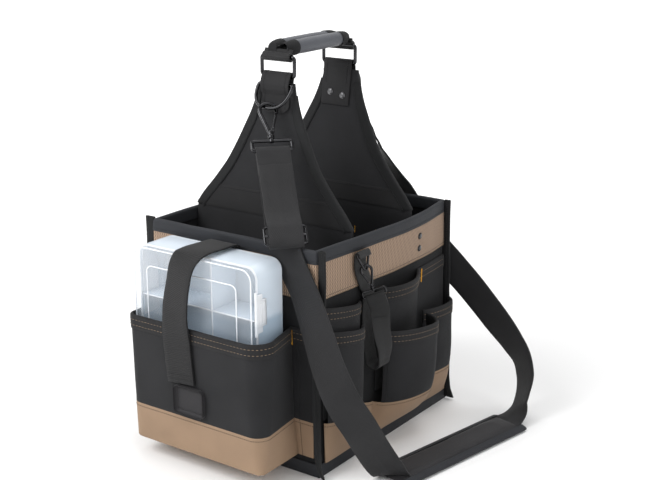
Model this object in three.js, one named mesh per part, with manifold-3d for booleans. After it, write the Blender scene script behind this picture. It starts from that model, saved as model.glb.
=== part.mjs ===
// Open tool bag with two bell-shaped divider panels, a padded carry handle, outside pockets, a clear
// compartment case and a shoulder strap. Millimetres, +Z up, origin at the middle of the base.
// The case pocket faces -Y and the row of small tool pockets faces +X.
import * as THREE from 'three';
import { mergeVertices } from 'three/addons/utils/BufferGeometryUtils.js';
import Module from 'manifold-3d';

const wasm = await Module();
wasm.setup();

// Driving dimensions
const HEIGHT = 237;
const HALF_WIDTH = { base: 110, top: 106 };
const HALF_DEPTH = { base: 124, top: 121 };
const WALL = 2.6;
const CLOTH = 1.6;
const TAPE = 1.4;
const GAP = 0.3;
const BAND_LIFT = 0.5;
const SIDE_BOW = { depth: 10.5, skew: 1.4, rise: 1.5 };
const FLOOR = { thickness: 3, rim: 14, rimEnd: 9 };
const TOP_BINDING = 13;
const YOKE = { bottom: 187, top: 224.5 };
const FIN = { thickness: 3.2, turned: 10, wide: 4 };
const BOOT = { bottom: 14.3, near: 57.5, top: 51, plainTop: 52 };

const POCKET = { centre: 0.25, halfWidth: 84.75, flare: 0.5, front: -186.4, flange: 104.5 };
const POCKET_CORNER = { left: { foot: 11, hem: 7, ease: 1 }, right: { foot: 3, hem: 20, ease: 0.4 } };
const POCKET_ROOT = [{ z: 20, x: 84 }, { z: 58, x: 78.5 }, { z: 154, x: 75 }];
const POCKET_Z = { bottom: 20, bootTop: 58, hem: 154 };
const PATCH = { centreX: -3, centreZ: 78.5, width: 39, height: 30, radius: 5, thickness: 1.2 };

const CASE = { left: -83, right: 72, back: -131, seam: -170.5, front: -180, bottom: 23, top: 228 };
const CASE_WALL = 1.8;
const CASE_RADIUS = 12;
const CASE_DIVIDER = { x: 13, z: 173 };
const LATCH = { bottom: 160, top: 205, thickness: 3.2, length: 15, pivot: -175.5 };

const STRAP_WIDTH = 35;
const CASE_STRAP_WIDTH = 35;
const TAPE_WIDTH = 20;
const WEBBING = 2.2;
const TAPE_WEBBING = 1.8;

const DIVIDER = { thickness: 2.6, tabTop: 383 };
const RING = { bottom: 389.5, top: 409.5, halfWidth: 21, corner: 2.5, wire: 2 };
const D_RING = { z: 381, offset: 3.4, halfWidth: 22, drop: 27, shoulder: 3, wire: 1.8, tilt: 33 };
const TAB = { halfWidth: 18.2, thickness: 1.6 };
const GRIP = { lobe: 7.6, spread: 8.5, neck: 0.35, z: 416.5, front: -34, rear: 64, cuff: 14 };

// Snap hook, measured along its own axis from the bar that holds the webbing
const HOOK = { loopHalf: 20.5, loopHeight: 11, loopWire: 1.8, post: 3.2, postTop: 22, wire: 1.6, bow: 8.5 };
const HOOK_BOW = { centre: 46, shoulder: 44, noseEnd: 42.5 };
const HOOK_SEAT = 48.8;
const GATE = { pivotU: 3, pivotV: 24, tipU: 7.7, tipV: 40.6, radius: 1.4 };
const TAPE_HOOK_SCALE = 0.634;
const SLIDER = { width: 44, height: 22, slot: 37, bar: 4, thickness: 2.4, below: 96 };

// Small vector and number helpers
const vec = (x, y, z) => new THREE.Vector3(x, y, z);
const lerp = THREE.MathUtils.lerp;
const rad = THREE.MathUtils.degToRad;
const range = (count) => Array.from({ length: count }, (_, index) => index);

function fromRows(rows, key, at, value) {
  const last = rows.length - 2;
  const index = Math.min(last, Math.max(0, rows.findIndex((row) => row[key] > at) - 1));
  const chosen = at >= rows[last + 1][key] ? last : index;
  const [low, high] = [rows[chosen], rows[chosen + 1]];
  return lerp(low[value], high[value], (at - low[key]) / (high[key] - low[key]));
}

// Solids from points: faces are turned outwards by the sign of the enclosed volume
function solid(points, faces) {
  const signed = faces.reduce((sum, [a, b, c]) => (
    sum + points[a].dot(points[b].clone().cross(points[c]))), 0);
  const turned = signed < 0 ? faces.map(([a, b, c]) => [a, c, b]) : faces;
  const geometry = new THREE.BufferGeometry();
  const numbers = points.flatMap((point) => point.toArray());
  geometry.setAttribute('position', new THREE.Float32BufferAttribute(numbers, 3));
  geometry.setIndex(turned.flat());
  return geometry;
}

function quad(faces, a, b, c, d) {
  faces.push([a, b, c], [a, c, d]);
}

// Mitred step from one face of a sheet to the other at a grid corner, shared by the quads that meet there
function mitre(surface, i, j, across, along) {
  const at = (a, b) => surface(a / across, b / along);
  const here = at(i, j);
  const [sidesU, sidesV] = [[-1, 1].filter((s) => i + s >= 0 && i + s <= across),
    [-1, 1].filter((s) => j + s >= 0 && j + s <= along)];
  const normals = sidesU.flatMap((su) => sidesV.map((sv) => {
    const du = at(i + su, j).sub(here).multiplyScalar(su);
    return du.cross(at(i, j + sv).sub(here).multiplyScalar(sv)).normalize();
  }));
  const mean = normals.reduce((sum, normal) => sum.add(normal), vec(0, 0, 0)).normalize();
  const turn = Math.max(0.6, Math.min(...normals.map((normal) => normal.dot(mean))));
  return mean.multiplyScalar(1 / turn);
}

// Cloth panel: the inner face is surface(u, v), the outer face lies one thickness along its normal
function panel(surface, thickness, across, along) {
  const points = [];
  const faces = [];
  const at = (layer, i, j) => (layer * (across + 1) + i) * (along + 1) + j;
  for (const layer of [0, 1]) {
    for (const i of range(across + 1)) {
      for (const j of range(along + 1)) {
        const step = mitre(surface, i, j, across, along);
        points.push(surface(i / across, j / along).addScaledVector(step, layer * thickness));
      }
    }
  }
  for (const i of range(across)) {
    for (const j of range(along)) {
      quad(faces, at(0, i, j), at(0, i + 1, j), at(0, i + 1, j + 1), at(0, i, j + 1));
      quad(faces, at(1, i, j), at(1, i, j + 1), at(1, i + 1, j + 1), at(1, i + 1, j));
    }
    quad(faces, at(0, i + 1, 0), at(0, i, 0), at(1, i, 0), at(1, i + 1, 0));
    quad(faces, at(0, i, along), at(0, i + 1, along), at(1, i + 1, along), at(1, i, along));
  }
  for (const j of range(along)) {
    quad(faces, at(0, across, j + 1), at(0, across, j), at(1, across, j), at(1, across, j + 1));
    quad(faces, at(0, 0, j), at(0, 0, j + 1), at(1, 0, j + 1), at(1, 0, j));
  }
  return solid(points, faces);
}

// Triangles that fill one ring of points, in the ring's own turning sense
function capFaces(ring, start) {
  const next = (k) => ring[(k + 1) % ring.length];
  const normal = ring.reduce((sum, point, k) => sum.add(point.clone().cross(next(k))), vec(0, 0, 0));
  const size = normal.toArray().map(Math.abs);
  const drop = size.indexOf(Math.max(...size));
  const flat = ring.map((point) => {
    const kept = point.toArray().filter((_, axis) => axis !== drop);
    return new THREE.Vector2(...kept);
  });
  const turn = Math.sign(THREE.ShapeUtils.area(flat));
  return THREE.ShapeUtils.triangulateShape(flat, []).map(([a, b, c]) => {
    const same = Math.sign(THREE.ShapeUtils.area([flat[a], flat[b], flat[c]])) === turn;
    return (same ? [a, b, c] : [a, c, b]).map((index) => start + index);
  });
}

// Skin through rings of equal count, with end caps unless the rings close on themselves
function loft(rings, closed = false) {
  const count = rings[0].length;
  const faces = [];
  for (const r of range(closed ? rings.length : rings.length - 1)) {
    const next = (r + 1) % rings.length;
    for (const k of range(count)) {
      const k1 = (k + 1) % count;
      quad(faces, r * count + k, r * count + k1, next * count + k1, next * count + k);
    }
  }
  if (!closed) {
    faces.push(...capFaces(rings[0], 0).map(([a, b, c]) => [a, c, b]));
    faces.push(...capFaces(rings[rings.length - 1], (rings.length - 1) * count));
  }
  return solid(rings.flat(), faces);
}

// Round wire along a flat path that lies square to normal
function wire(path, normal, radius, closed, sides = 8) {
  const rings = path.map((point, k) => {
    const before = closed ? path[(k + path.length - 1) % path.length] : path[Math.max(0, k - 1)];
    const after = closed ? path[(k + 1) % path.length] : path[Math.min(path.length - 1, k + 1)];
    const side = normal.clone().cross(after.clone().sub(before).normalize());
    return range(sides).map((s) => {
      const angle = (2 * Math.PI * s) / sides;
      const spoke = side.clone().multiplyScalar(Math.cos(angle)).addScaledVector(normal, Math.sin(angle));
      return point.clone().addScaledVector(spoke, radius);
    });
  });
  return loft(rings, closed);
}

// Flat webbing through stations, each with a point and the direction that its face looks in
function ribbon(stations, width, thickness, steps) {
  const route = new THREE.CatmullRomCurve3(stations.map((station) => station.at), false, 'centripetal');
  const rings = range(steps + 1).map((k) => {
    const place = (k / steps) * (stations.length - 1);
    const low = Math.min(stations.length - 2, Math.floor(place));
    const face = stations[low].face.clone().lerp(stations[low + 1].face, place - low);
    const centre = route.getPoint(k / steps);
    const tangent = route.getTangent(k / steps);
    const across = tangent.clone().cross(face).normalize();
    const out = across.clone().cross(tangent).normalize();
    return [[1, 1], [-1, 1], [-1, -1], [1, -1]].map(([w, n]) => (
      centre.clone().addScaledVector(across, (w * width) / 2).addScaledVector(out, (n * thickness) / 2)));
  });
  return loft(rings);
}

function roundedRectangle(halfWidth, halfHeight, radius, steps = 4) {
  const corners = [[1, 1], [-1, 1], [-1, -1], [1, -1]];
  return corners.flatMap(([sx, sy], quarter) => range(steps + 1).map((k) => {
    const angle = (quarter + k / steps) * (Math.PI / 2);
    return new THREE.Vector2(
      sx * (halfWidth - radius) + radius * Math.cos(angle),
      sy * (halfHeight - radius) + radius * Math.sin(angle),
    );
  }));
}

function box(x0, x1, y0, y1, z0, z1) {
  const geometry = new THREE.BoxGeometry(x1 - x0, y1 - y0, z1 - z0);
  return geometry.translate((x0 + x1) / 2, (y0 + y1) / 2, (z0 + z1) / 2);
}

function toManifold(geometry) {
  const bare = geometry.clone();
  bare.deleteAttribute('normal');
  bare.deleteAttribute('uv');
  const merged = mergeVertices(bare, 1e-4);
  return new wasm.Manifold(new wasm.Mesh({
    numProp: 3,
    vertProperties: new Float32Array(merged.attributes.position.array),
    triVerts: new Uint32Array(merged.index.array),
  }));
}

function fromManifold(body) {
  const mesh = body.getMesh();
  const geometry = new THREE.BufferGeometry();
  geometry.setAttribute('position', new THREE.BufferAttribute(mesh.vertProperties, 3));
  geometry.setIndex(new THREE.BufferAttribute(mesh.triVerts, 1));
  return geometry;
}

const joined = (...parts) => fromManifold(parts.map(toManifold).reduce((sum, part) => sum.add(part)));
const cut = (base, ...tools) => (
  fromManifold(tools.map(toManifold).reduce((rest, tool) => rest.subtract(tool), toManifold(base))));

// Materials and the group that every mesh joins
const finish = (color, roughness, metalness = 0) => (
  () => new THREE.MeshStandardMaterial({ color, roughness, metalness }));
const canvas = finish(0x232427, 0.85);
const tanCanvas = finish(0xb1977c, 0.8);
const tanMesh = finish(0xa38c74, 0.85);
const grosgrain = finish(0x33373d, 0.7);
const webbing = finish(0x1c1d1f, 0.75);
const gripCloth = finish(0x474a54, 0.6);
const blackMetal = finish(0x17171a, 0.3, 0.9);
const clearPlastic = () => new THREE.MeshStandardMaterial({
  color: 0xdde7ee, roughness: 0.25, transparent: true, opacity: 0.45,
});

const bag = new THREE.Group();

function add(name, geometry, material, parent = bag) {
  const mesh = new THREE.Mesh(geometry, material());
  mesh.name = name;
  parent.add(mesh);
  return mesh;
}

// Outside faces of the four walls
const halfWidth = (z) => lerp(HALF_WIDTH.base, HALF_WIDTH.top, z / HEIGHT);
const halfDepth = (z) => lerp(HALF_DEPTH.base, HALF_DEPTH.top, z / HEIGHT);

function sideBow(y, z) {
  const along = THREE.MathUtils.clamp((y + HALF_DEPTH.top) / (2 * HALF_DEPTH.top), 0, 1);
  const up = THREE.MathUtils.clamp(z / HEIGHT, 0, 1);
  return SIDE_BOW.depth * Math.sin(Math.PI * along ** SIDE_BOW.skew) * up ** SIDE_BOW.rise;
}

const sideFace = (y, z, offset) => vec(halfWidth(z) + sideBow(y, z) + offset, y, z);
const frontFace = (x, z, offset) => vec(x, -halfDepth(z) - offset, z);

// Base and walls
function buildBody() {
  const [outX, outY] = [HALF_WIDTH.base + 2, HALF_DEPTH.base + 2];
  const [rimX, rimY] = [HALF_WIDTH.base + GAP, HALF_DEPTH.base + GAP];
  const [endX, endY] = [HALF_WIDTH.base - FLOOR.rimEnd, HALF_DEPTH.base - FLOOR.rimEnd];
  add('base_tray', joined(
    box(-outX, outX, -outY, outY, 0, FLOOR.thickness),
    box(-endX, endX, -outY, -rimY, 0, FLOOR.rim),
    box(-endX, endX, rimY, outY, 0, FLOOR.rim),
    box(-outX, -rimX, -endY, endY, 0, FLOOR.rim),
    box(rimX, outX, -endY, endY, 0, FLOOR.rim),
  ), grosgrain);

  const foot = FLOOR.thickness + GAP;
  const up = (v) => lerp(foot, HEIGHT, v);
  const inset = WALL + 3 * GAP;
  const sideY = (u, z) => lerp(-halfDepth(z) + inset, halfDepth(z) - inset, u);
  const frontX = (u, z) => lerp(-halfWidth(z), halfWidth(z), u);
  const walls = {
    wall_front: [(u, v) => frontFace(frontX(u, up(v)), up(v), -WALL), 2, 2],
    wall_rear: [(u, v) => vec(-frontX(u, up(v)), halfDepth(up(v)) - WALL, up(v)), 2, 2],
    wall_left: [(u, v) => vec(-halfWidth(up(v)) + WALL, -sideY(u, up(v)), up(v)), 2, 2],
    wall_right: [(u, v) => sideFace(sideY(u, up(v)), up(v), -WALL), 10, 4],
  };
  for (const [name, [surface, across, along]] of Object.entries(walls)) {
    add(name, panel(surface, WALL, across, along), canvas);
  }
}

// Rings of tape and mesh that run round all four walls, drawn as a section carried round the outline
function outline(z, offset) {
  const [x, y] = [halfWidth(z) + offset, halfDepth(z) + offset];
  const steps = 10;
  const side = range(steps + 1).map((k) => {
    const along = lerp(-y, y, k / steps);
    return vec(halfWidth(z) + sideBow(along, z) + offset, along, z);
  });
  return [vec(-x, -y, z), vec(0, -y, z), ...side, vec(0, y, z), vec(-x, y, z)];
}

function bandRound(section) {
  const loops = section.map(({ offset, z }) => outline(z, offset));
  return loft(loops[0].map((_, k) => loops.map((loop) => loop[k])), true);
}

function buildBands() {
  const [outer, inner] = [BAND_LIFT + TAPE, -WALL - BAND_LIFT];
  const top = HEIGHT + GAP;
  add('top_binding', bandRound([
    { offset: BAND_LIFT, z: HEIGHT - TOP_BINDING + 1 },
    { offset: outer, z: HEIGHT - TOP_BINDING + 1 },
    { offset: outer, z: top + TAPE },
    { offset: inner - TAPE, z: top + TAPE },
    { offset: inner - TAPE, z: HEIGHT - TOP_BINDING + 1 },
    { offset: inner, z: HEIGHT - TOP_BINDING + 1 },
    { offset: inner, z: top },
    { offset: BAND_LIFT, z: top },
  ]), grosgrain);
  add('yoke_band', bandRound([
    { offset: BAND_LIFT, z: YOKE.bottom },
    { offset: outer, z: YOKE.bottom },
    { offset: outer, z: YOKE.top },
    { offset: BAND_LIFT, z: YOKE.top },
  ]), tanMesh);

  const bootZ = (v) => lerp(BOOT.bottom, BOOT.plainTop, v);
  const reachY = HALF_DEPTH.top - FLOOR.rimEnd;
  const reachX = HALF_WIDTH.top - FLOOR.rimEnd + 4;
  add('plain_boot_left', panel((u, v) => (
    vec(-halfWidth(bootZ(v)) - GAP, lerp(reachY, -reachY, u), bootZ(v))), CLOTH, 2, 1), tanCanvas);
  add('plain_boot_rear', panel((u, v) => (
    vec(lerp(reachX, -reachX, u), halfDepth(bootZ(v)) + GAP, bootZ(v))), CLOTH, 2, 1), tanCanvas);

  for (const [end, signY] of [['front', -1], ['rear', 1]]) {
    for (const [hand, signX] of [['left', -1], ['right', 1]]) {
      add(`corner_binding_${end}_${hand}`, cornerFin(signX, signY), grosgrain);
    }
  }
}

// Bound seam that stands out sideways from a wall corner, with a root that steps out past the bands.
// The one beside the case pocket turns forwards on its way down.
function cornerFin(signX, signY) {
  const bandFoot = YOKE.bottom - 1;
  const clear = BAND_LIFT + TAPE + 1.2;
  const turns = signX > 0 && signY < 0;
  const low = turns ? FIN.turned : 9;
  const wide = signX < 0 && signY < 0 ? FIN.wide : 0;
  const rows = [
    { z: FLOOR.thickness + GAP, root: 2 + GAP, reach: 14, turn: 40 },
    { z: FLOOR.rim, root: GAP, reach: low + 1, turn: 70 },
    { z: 30, root: GAP, reach: low, turn: 90 },
    { z: 118, root: GAP, reach: low, turn: 90 },
    { z: 135, root: GAP, reach: turns ? 9.7 : 8.5, turn: 65 },
    { z: 155, root: GAP, reach: 9.5, turn: 25 },
    { z: bandFoot, root: GAP, reach: 9.5 + wide, turn: 0 },
    { z: bandFoot + 1 - GAP, root: clear, reach: 9.5 + wide, turn: 0 },
    { z: HEIGHT + 2, root: clear, reach: 10.5 + wide, turn: 0 },
  ];
  return loft(rows.map(({ z, root, reach, turn }) => {
    const angle = turns ? rad(turn) : 0;
    const [along, aside] = [Math.cos(angle), Math.sin(angle)];
    const corners = [[root, 0], [reach, 0.4], [reach, FIN.thickness - 0.4], [root, FIN.thickness]];
    return corners.map(([out, inward]) => vec(
      signX * (halfWidth(z) + out * along + inward * aside),
      signY * (halfDepth(z) + out * aside - inward * along),
      z,
    ));
  }));
}

// Small tool pockets of the right wall: where each starts and ends along Y, the height of its hem, how far
// the hem drops towards the end, its bulge, where that peaks, and how bluntly the sides rise and fall
const SEAM = 2.2;
const UPPER_POCKETS = [
  { name: 'upper_pocket_near', from: -116.5, to: -54, end: -54, hem: 178, drop: 9, bulge: 10, peak: 0.6 },
  { name: 'upper_pocket_rear', from: -24, to: 56, end: 117, hem: 175, bulge: 17, peak: 0.46, taper: 1.2 },
];
const LOWER_POCKETS = [
  { name: 'lower_pocket_near', from: -117, to: -53, hem: 154, drop: 10.5, bulge: 14, peak: 0.6 },
  {
    name: 'lower_pocket_middle', from: -30, to: 58, hem: 131, drop: 5,
    bulge: 36, peak: 0.68, rise: 0.45, taper: 0.6,
  },
  { name: 'lower_pocket_rear', from: 58, to: 118, hem: 127, bulge: 16, peak: 0.7, taper: 0.6 },
];
const UPPER_FOOT = 60;
const LOWER_LIFT = GAP + CLOTH + GAP + 0.3;

// Share of the full bulge at a place along a pocket: a blunt rise to the peak and a fall to the far seam
function billow({ from, to, peak, rise = 0.6, taper = 0.9 }, y) {
  const along = (y - from) / (to - from);
  if (along <= 0 || along >= 1) return 0;
  const climb = along < peak ? along / peak : (1 - along) / (1 - peak);
  return (1 - (1 - climb) ** 2) ** (along < peak ? rise : taper);
}

const hemAt = ({ from, to, hem, drop = 0 }, y) => hem - drop * ((y - from) / (to - from));
const bootTop = (y) => lerp(BOOT.near, BOOT.top, THREE.MathUtils.smoothstep(y, -60, -30));

function lowerPocketFace(pocket, y, z) {
  const filled = 1 - (1 - (z - BOOT.bottom) / (hemAt(pocket, y) - BOOT.bottom)) ** 5;
  return sideFace(y, z, LOWER_LIFT + pocket.bulge * billow(pocket, y) * filled);
}

function buildSidePockets() {
  for (const pocket of UPPER_POCKETS) {
    const surface = (u, v) => {
      const y = lerp(pocket.from, pocket.end, u);
      const open = pocket.bulge * billow(pocket, y) * v ** 1.2;
      return sideFace(y, lerp(UPPER_FOOT, hemAt(pocket, y), v), GAP + open);
    };
    add(pocket.name, panel(surface, CLOTH, 14, 4), canvas);
  }
  for (const pocket of LOWER_POCKETS) {
    const [low, high] = [pocket.from + SEAM, pocket.to - SEAM];
    const surface = (u, v) => {
      const y = lerp(low, high, u);
      return lowerPocketFace(pocket, y, lerp(bootTop(y) + GAP, hemAt(pocket, y), v));
    };
    add(pocket.name, panel(surface, CLOTH, 14, 4), canvas);
  }
  const spans = LOWER_POCKETS.map((pocket, k) => ({
    ...pocket, start: k === 1 ? LOWER_POCKETS[0].to : pocket.from,
  }));
  const bootFace = (u, v) => {
    const place = u * spans.length;
    const span = spans[Math.min(spans.length - 1, Math.floor(place))];
    const y = lerp(span.start, span.to, place - spans.indexOf(span));
    return lowerPocketFace(span, y, lerp(BOOT.bottom, bootTop(y), v));
  };
  add('side_boot', panel(bootFace, CLOTH, 30, 3), tanCanvas);
}

// Case pocket of the front wall: one level of its outline, from the left flange round the rounded
// corners to the right flange
function casePocketPath(z, flanges) {
  const up = (z - POCKET_Z.bottom) / (POCKET_Z.hem - POCKET_Z.bottom);
  const half = POCKET.halfWidth + POCKET.flare * up;
  const [left, right] = [POCKET.centre - half, POCKET.centre + half];
  const back = -halfDepth(z) - GAP;
  const arc = (side, edge, { foot, hem, ease }, steps) => {
    const radius = lerp(foot, hem, up ** ease);
    return range(steps + 1).map((k) => {
      const angle = (Math.PI / 2) * (side < 0 ? k / steps : 1 - k / steps);
      const [x, y] = [radius * (1 - Math.cos(angle)), radius * (1 - Math.sin(angle))];
      return vec(edge - side * x, POCKET.front + y, z);
    });
  };
  const ends = flanges ? [vec(-POCKET.flange, back, z), vec(POCKET.flange, back, z)] : [];
  return [
    ...ends.slice(0, 1),
    vec(left, back, z),
    ...arc(-1, left, POCKET_CORNER.left, 4),
    ...arc(1, right, POCKET_CORNER.right, 6),
    vec(fromRows(POCKET_ROOT, 'z', z, 'x'), back, z),
    ...ends.slice(1),
  ];
}

function buildCasePocket() {
  const wallOf = (z0, z1) => {
    const count = casePocketPath(z0, true).length - 1;
    const surface = (u, v) => casePocketPath(lerp(z0, z1, v), true)[Math.round(u * count)];
    return panel(surface, CLOTH, count, 2);
  };
  const reach = 1 + CLOTH / 2 / POCKET.halfWidth;
  const floorRing = (z) => casePocketPath(z, false).map((point) => (
    vec(POCKET.centre + (point.x - POCKET.centre) * reach, point.y - CLOTH / 2, z)));
  const floor = loft([floorRing(POCKET_Z.bottom), floorRing(POCKET_Z.bottom + CLOTH)]);
  add('case_pocket', wallOf(POCKET_Z.bootTop + GAP, POCKET_Z.hem), canvas);
  add('case_pocket_boot', joined(wallOf(POCKET_Z.bottom, POCKET_Z.bootTop), floor), tanCanvas);

  const patchBack = POCKET.front - CLOTH - GAP;
  const patchRing = (y) => roundedRectangle(PATCH.width / 2, PATCH.height / 2, PATCH.radius)
    .map((point) => vec(PATCH.centreX + point.x, y, PATCH.centreZ + point.y));
  add('pocket_patch', loft([patchRing(patchBack), patchRing(patchBack - PATCH.thickness)]), canvas);
}

// Clear case: tray with two dividers, shallow lid, and a latch lever on the right side
function caseBlock(shrink, y0, y1) {
  const [midX, midZ] = [(CASE.left + CASE.right) / 2, (CASE.bottom + CASE.top) / 2];
  const [halfX, halfZ] = [(CASE.right - CASE.left) / 2 - shrink, (CASE.top - CASE.bottom) / 2 - shrink];
  const ring = (y) => roundedRectangle(halfX, halfZ, CASE_RADIUS - shrink)
    .map((point) => vec(midX + point.x, y, midZ + point.y));
  return loft([ring(y0), ring(y1)]);
}

function buildCase() {
  const floor = CASE.back - CASE_WALL;
  const half = CASE_WALL / 2;
  const { x, z } = CASE_DIVIDER;
  const [deep, shallow] = [CASE.back + 1, CASE.seam - 2];
  const divider = joined(
    box(x - half, x + half, shallow, deep, CASE.bottom - 1, CASE.top + 1),
    box(CASE.left - 1, CASE.right + 1, shallow, deep, z - half, z + half),
  );
  const hollow = cut(caseBlock(CASE_WALL, CASE.seam - 1, floor), divider);
  add('case_tray', cut(caseBlock(0, CASE.seam, CASE.back), hollow), clearPlastic);

  const lidBack = CASE.seam - GAP;
  const lidHollow = caseBlock(CASE_WALL, CASE.front + CASE_WALL, lidBack + 1);
  add('case_lid', cut(caseBlock(0, CASE.front, lidBack), lidHollow), clearPlastic);

  const [inside, outside] = [CASE.right + GAP, CASE.right + GAP + LATCH.thickness];
  const [low, high, tip] = [LATCH.bottom, LATCH.top, LATCH.pivot + LATCH.length];
  const plate = box(inside + 1, outside, LATCH.pivot, tip, low, high);
  const hook = box(inside, outside, tip - 3, tip, low, high);
  const barrel = new THREE.CylinderGeometry(LATCH.thickness / 2, LATCH.thickness / 2, high - low, 12)
    .rotateX(Math.PI / 2)
    .translate((inside + outside) / 2, LATCH.pivot, (low + high) / 2);
  add('case_latch', joined(plate, hook, barrel), clearPlastic);
}

// Strap that holds the case down: the webbing's middle and the way its face looks
const CASE_STRAP_ROUTE = [
  { x: -2, y: -125.5, z: 203, fy: 1, fz: 0 },
  { x: -2, y: -125.5, z: 223, fy: 1, fz: 0 },
  { x: -2, y: -126.4, z: 228.5, fy: 0.8, fz: 0.6 },
  { x: -2, y: -130, z: 231.2, fy: 0.2, fz: 1 },
  { x: -3, y: -150, z: 232.4, fy: 0, fz: 1 },
  { x: -4, y: -174, z: 232.6, fy: -0.2, fz: 1 },
  { x: -5, y: -184, z: 230, fy: -0.6, fz: 0.8 },
  { x: -7.5, y: -189.5, z: 222, fx: -0.15, fy: -1, fz: 0.3 },
  { x: -11, y: -193, z: 200, fx: -0.18, fy: -1, fz: 0.1 },
  { x: -15.5, y: -193.5, z: 170, fx: -0.1, fy: -1, fz: 0 },
  { x: -16, y: -191.7, z: 140, fx: 0.02, fy: -1, fz: 0 },
  { x: -12.5, y: -190.7, z: 96, fy: -1, fz: 0 },
];

function buildCaseStrap() {
  const stations = routeStations(CASE_STRAP_ROUTE);
  add('case_strap', ribbon(stations, CASE_STRAP_WIDTH, WEBBING, 30), webbing);
}

// Divider panels: half width by height, and the lean of each from the rim to the handle ring
const BELL = [
  { z: 6, half: 104.5 },
  { z: 234, half: 100.5 },
  { z: 244, half: 100 },
  { z: 256, half: 91.5 },
  { z: 272, half: 77.5 },
  { z: 294, half: 60.5 },
  { z: 315, half: 48.5 },
  { z: 335, half: 38.5 },
  { z: 349, half: 31.5 },
  { z: 364, half: 26 },
  { z: DIVIDER.tabTop, half: 22 },
];
const ENDS = [
  { end: 'front', out: -1, foot: -57, lean: 17, shift: 0 },
  { end: 'rear', out: 1, foot: 46, lean: 24, shift: 4 },
];
const bindingFoot = 3;

const dividerY = (row, z) => row.foot + row.lean * Math.max(0, (z - HEIGHT) / (RING.bottom - HEIGHT));

function bellEdge(row, z, sign) {
  const half = fromRows(BELL, 'z', z, 'half');
  const fade = THREE.MathUtils.clamp((300 - z) / (300 - HEIGHT), 0, 1);
  const spread = sign > 0 ? sideBow(row.foot, Math.min(z, HEIGHT)) * fade : 0;
  const shift = row.shift * THREE.MathUtils.clamp((z - HEIGHT) / 60, 0, 1);
  return vec(sign * (half + spread) + shift, dividerY(row, z), z);
}

function buildDivider(row) {
  const along = BELL.length - 1;
  const face = (u, v) => {
    const place = v * along;
    const low = Math.min(along - 1, Math.floor(place));
    const z = lerp(BELL[low].z, BELL[low + 1].z, place - low);
    const point = bellEdge(row, z, -1).lerp(bellEdge(row, z, 1), u);
    point.y += DIVIDER.thickness / 2;
    return point;
  };
  add(`divider_${row.end}`, panel(face, DIVIDER.thickness, 2, along), canvas);

  for (const [hand, sign] of [['left', -1], ['right', 1]]) {
    const edges = BELL.slice(bindingFoot, -2).map(({ z }) => bellEdge(row, z, sign));
    const slope = row.lean / (RING.bottom - HEIGHT);
    const face = vec(0, 1, -slope).normalize();
    add(`divider_binding_${row.end}_${hand}`, edgeBinding(edges, face, -sign), grosgrain);
  }
}

// Folded tape along a panel edge: a U section whose legs lie either side of the panel
function edgeBinding(edges, face, inward) {
  const [cover, edge] = [9.5, 1.5];
  const [slot, outer] = [DIVIDER.thickness / 2 + GAP, DIVIDER.thickness / 2 + GAP + TAPE - 0.2];
  const section = [
    [cover, outer], [-edge, outer], [-edge, -outer], [cover, -outer],
    [cover, -slot], [-GAP, -slot], [-GAP, slot], [cover, slot],
  ];
  return loft(edges.map((point, k) => {
    const before = edges[Math.max(0, k - 1)];
    const after = edges[Math.min(edges.length - 1, k + 1)];
    const tangent = after.clone().sub(before).normalize();
    const into = tangent.clone().cross(face);
    into.multiplyScalar(Math.sign(into.x) === inward ? 1 : -1);
    return section.map(([s, n]) => point.clone().addScaledVector(into, s).addScaledVector(face, n));
  }));
}

// Webbing tab over the lower bar of the handle ring: height and stand-off of its inner face, outside first
const TAB_ROWS = [
  { z: 360, off: 1.7 },
  { z: 371, off: 1.9 },
  { z: 376, off: 4.6 },
  { z: 381, off: 5.6 },
  { z: 386, off: 4.6 },
  { z: 390, off: 3 },
  { z: 392, off: 1.6 },
  { z: 392.7, off: 0 },
  { z: 392, off: -1.6 },
  { z: 389.5, off: -2.5 },
  { z: 385, off: -1.8 },
  { z: 344, off: -1.7 },
];

function buildTabAndRings(row) {
  const along = TAB_ROWS.length - 1;
  const face = (u, v) => {
    const place = v * along;
    const low = Math.min(along - 1, Math.floor(place));
    const mix = (key) => lerp(TAB_ROWS[low][key], TAB_ROWS[low + 1][key], place - low);
    const x = lerp(-TAB.halfWidth, TAB.halfWidth, u);
    return vec(-row.out * x, dividerY(row, mix('z')) + row.out * mix('off'), mix('z'));
  };
  add(`tab_${row.end}`, panel(face, TAB.thickness, 2, along), webbing);

  const ringY = dividerY(row, RING.bottom);
  const ringPath = roundedRectangle(RING.halfWidth, (RING.top - RING.bottom) / 2, RING.corner, 3)
    .map((point) => vec(point.x, ringY, point.y + (RING.top + RING.bottom) / 2));
  add(`handle_ring_${row.end}`, wire(ringPath, vec(0, 1, 0), RING.wire, true), blackMetal);

  const steps = 14;
  const bow = range(steps + 1).map((k) => {
    const angle = (Math.PI * k) / steps;
    const across = Math.sign(Math.cos(angle)) * Math.abs(Math.cos(angle)) ** 0.8;
    const down = lerp(D_RING.shoulder, D_RING.drop, Math.sin(angle) ** 0.9);
    return dRingPoint(row, D_RING.halfWidth * across, down);
  });
  const barEnd = D_RING.halfWidth - 1.2;
  const dPath = [...bow, dRingPoint(row, -barEnd, 0), dRingPoint(row, 0, 0), dRingPoint(row, barEnd, 0)];
  const normal = vec(0, -Math.cos(rad(D_RING.tilt)), -row.out * Math.sin(rad(D_RING.tilt)));
  add(`d_ring_${row.end}`, wire(dPath, normal, D_RING.wire, true), blackMetal);
}

// A point of the D ring, measured from its straight bar down its tilted plane
function dRingPoint(row, x, down) {
  const tilt = rad(D_RING.tilt);
  const bar = vec(x, dividerY(row, D_RING.z) + row.out * D_RING.offset, D_RING.z);
  return bar.addScaledVector(vec(0, row.out * Math.sin(tilt), -Math.cos(tilt)), down);
}

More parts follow.
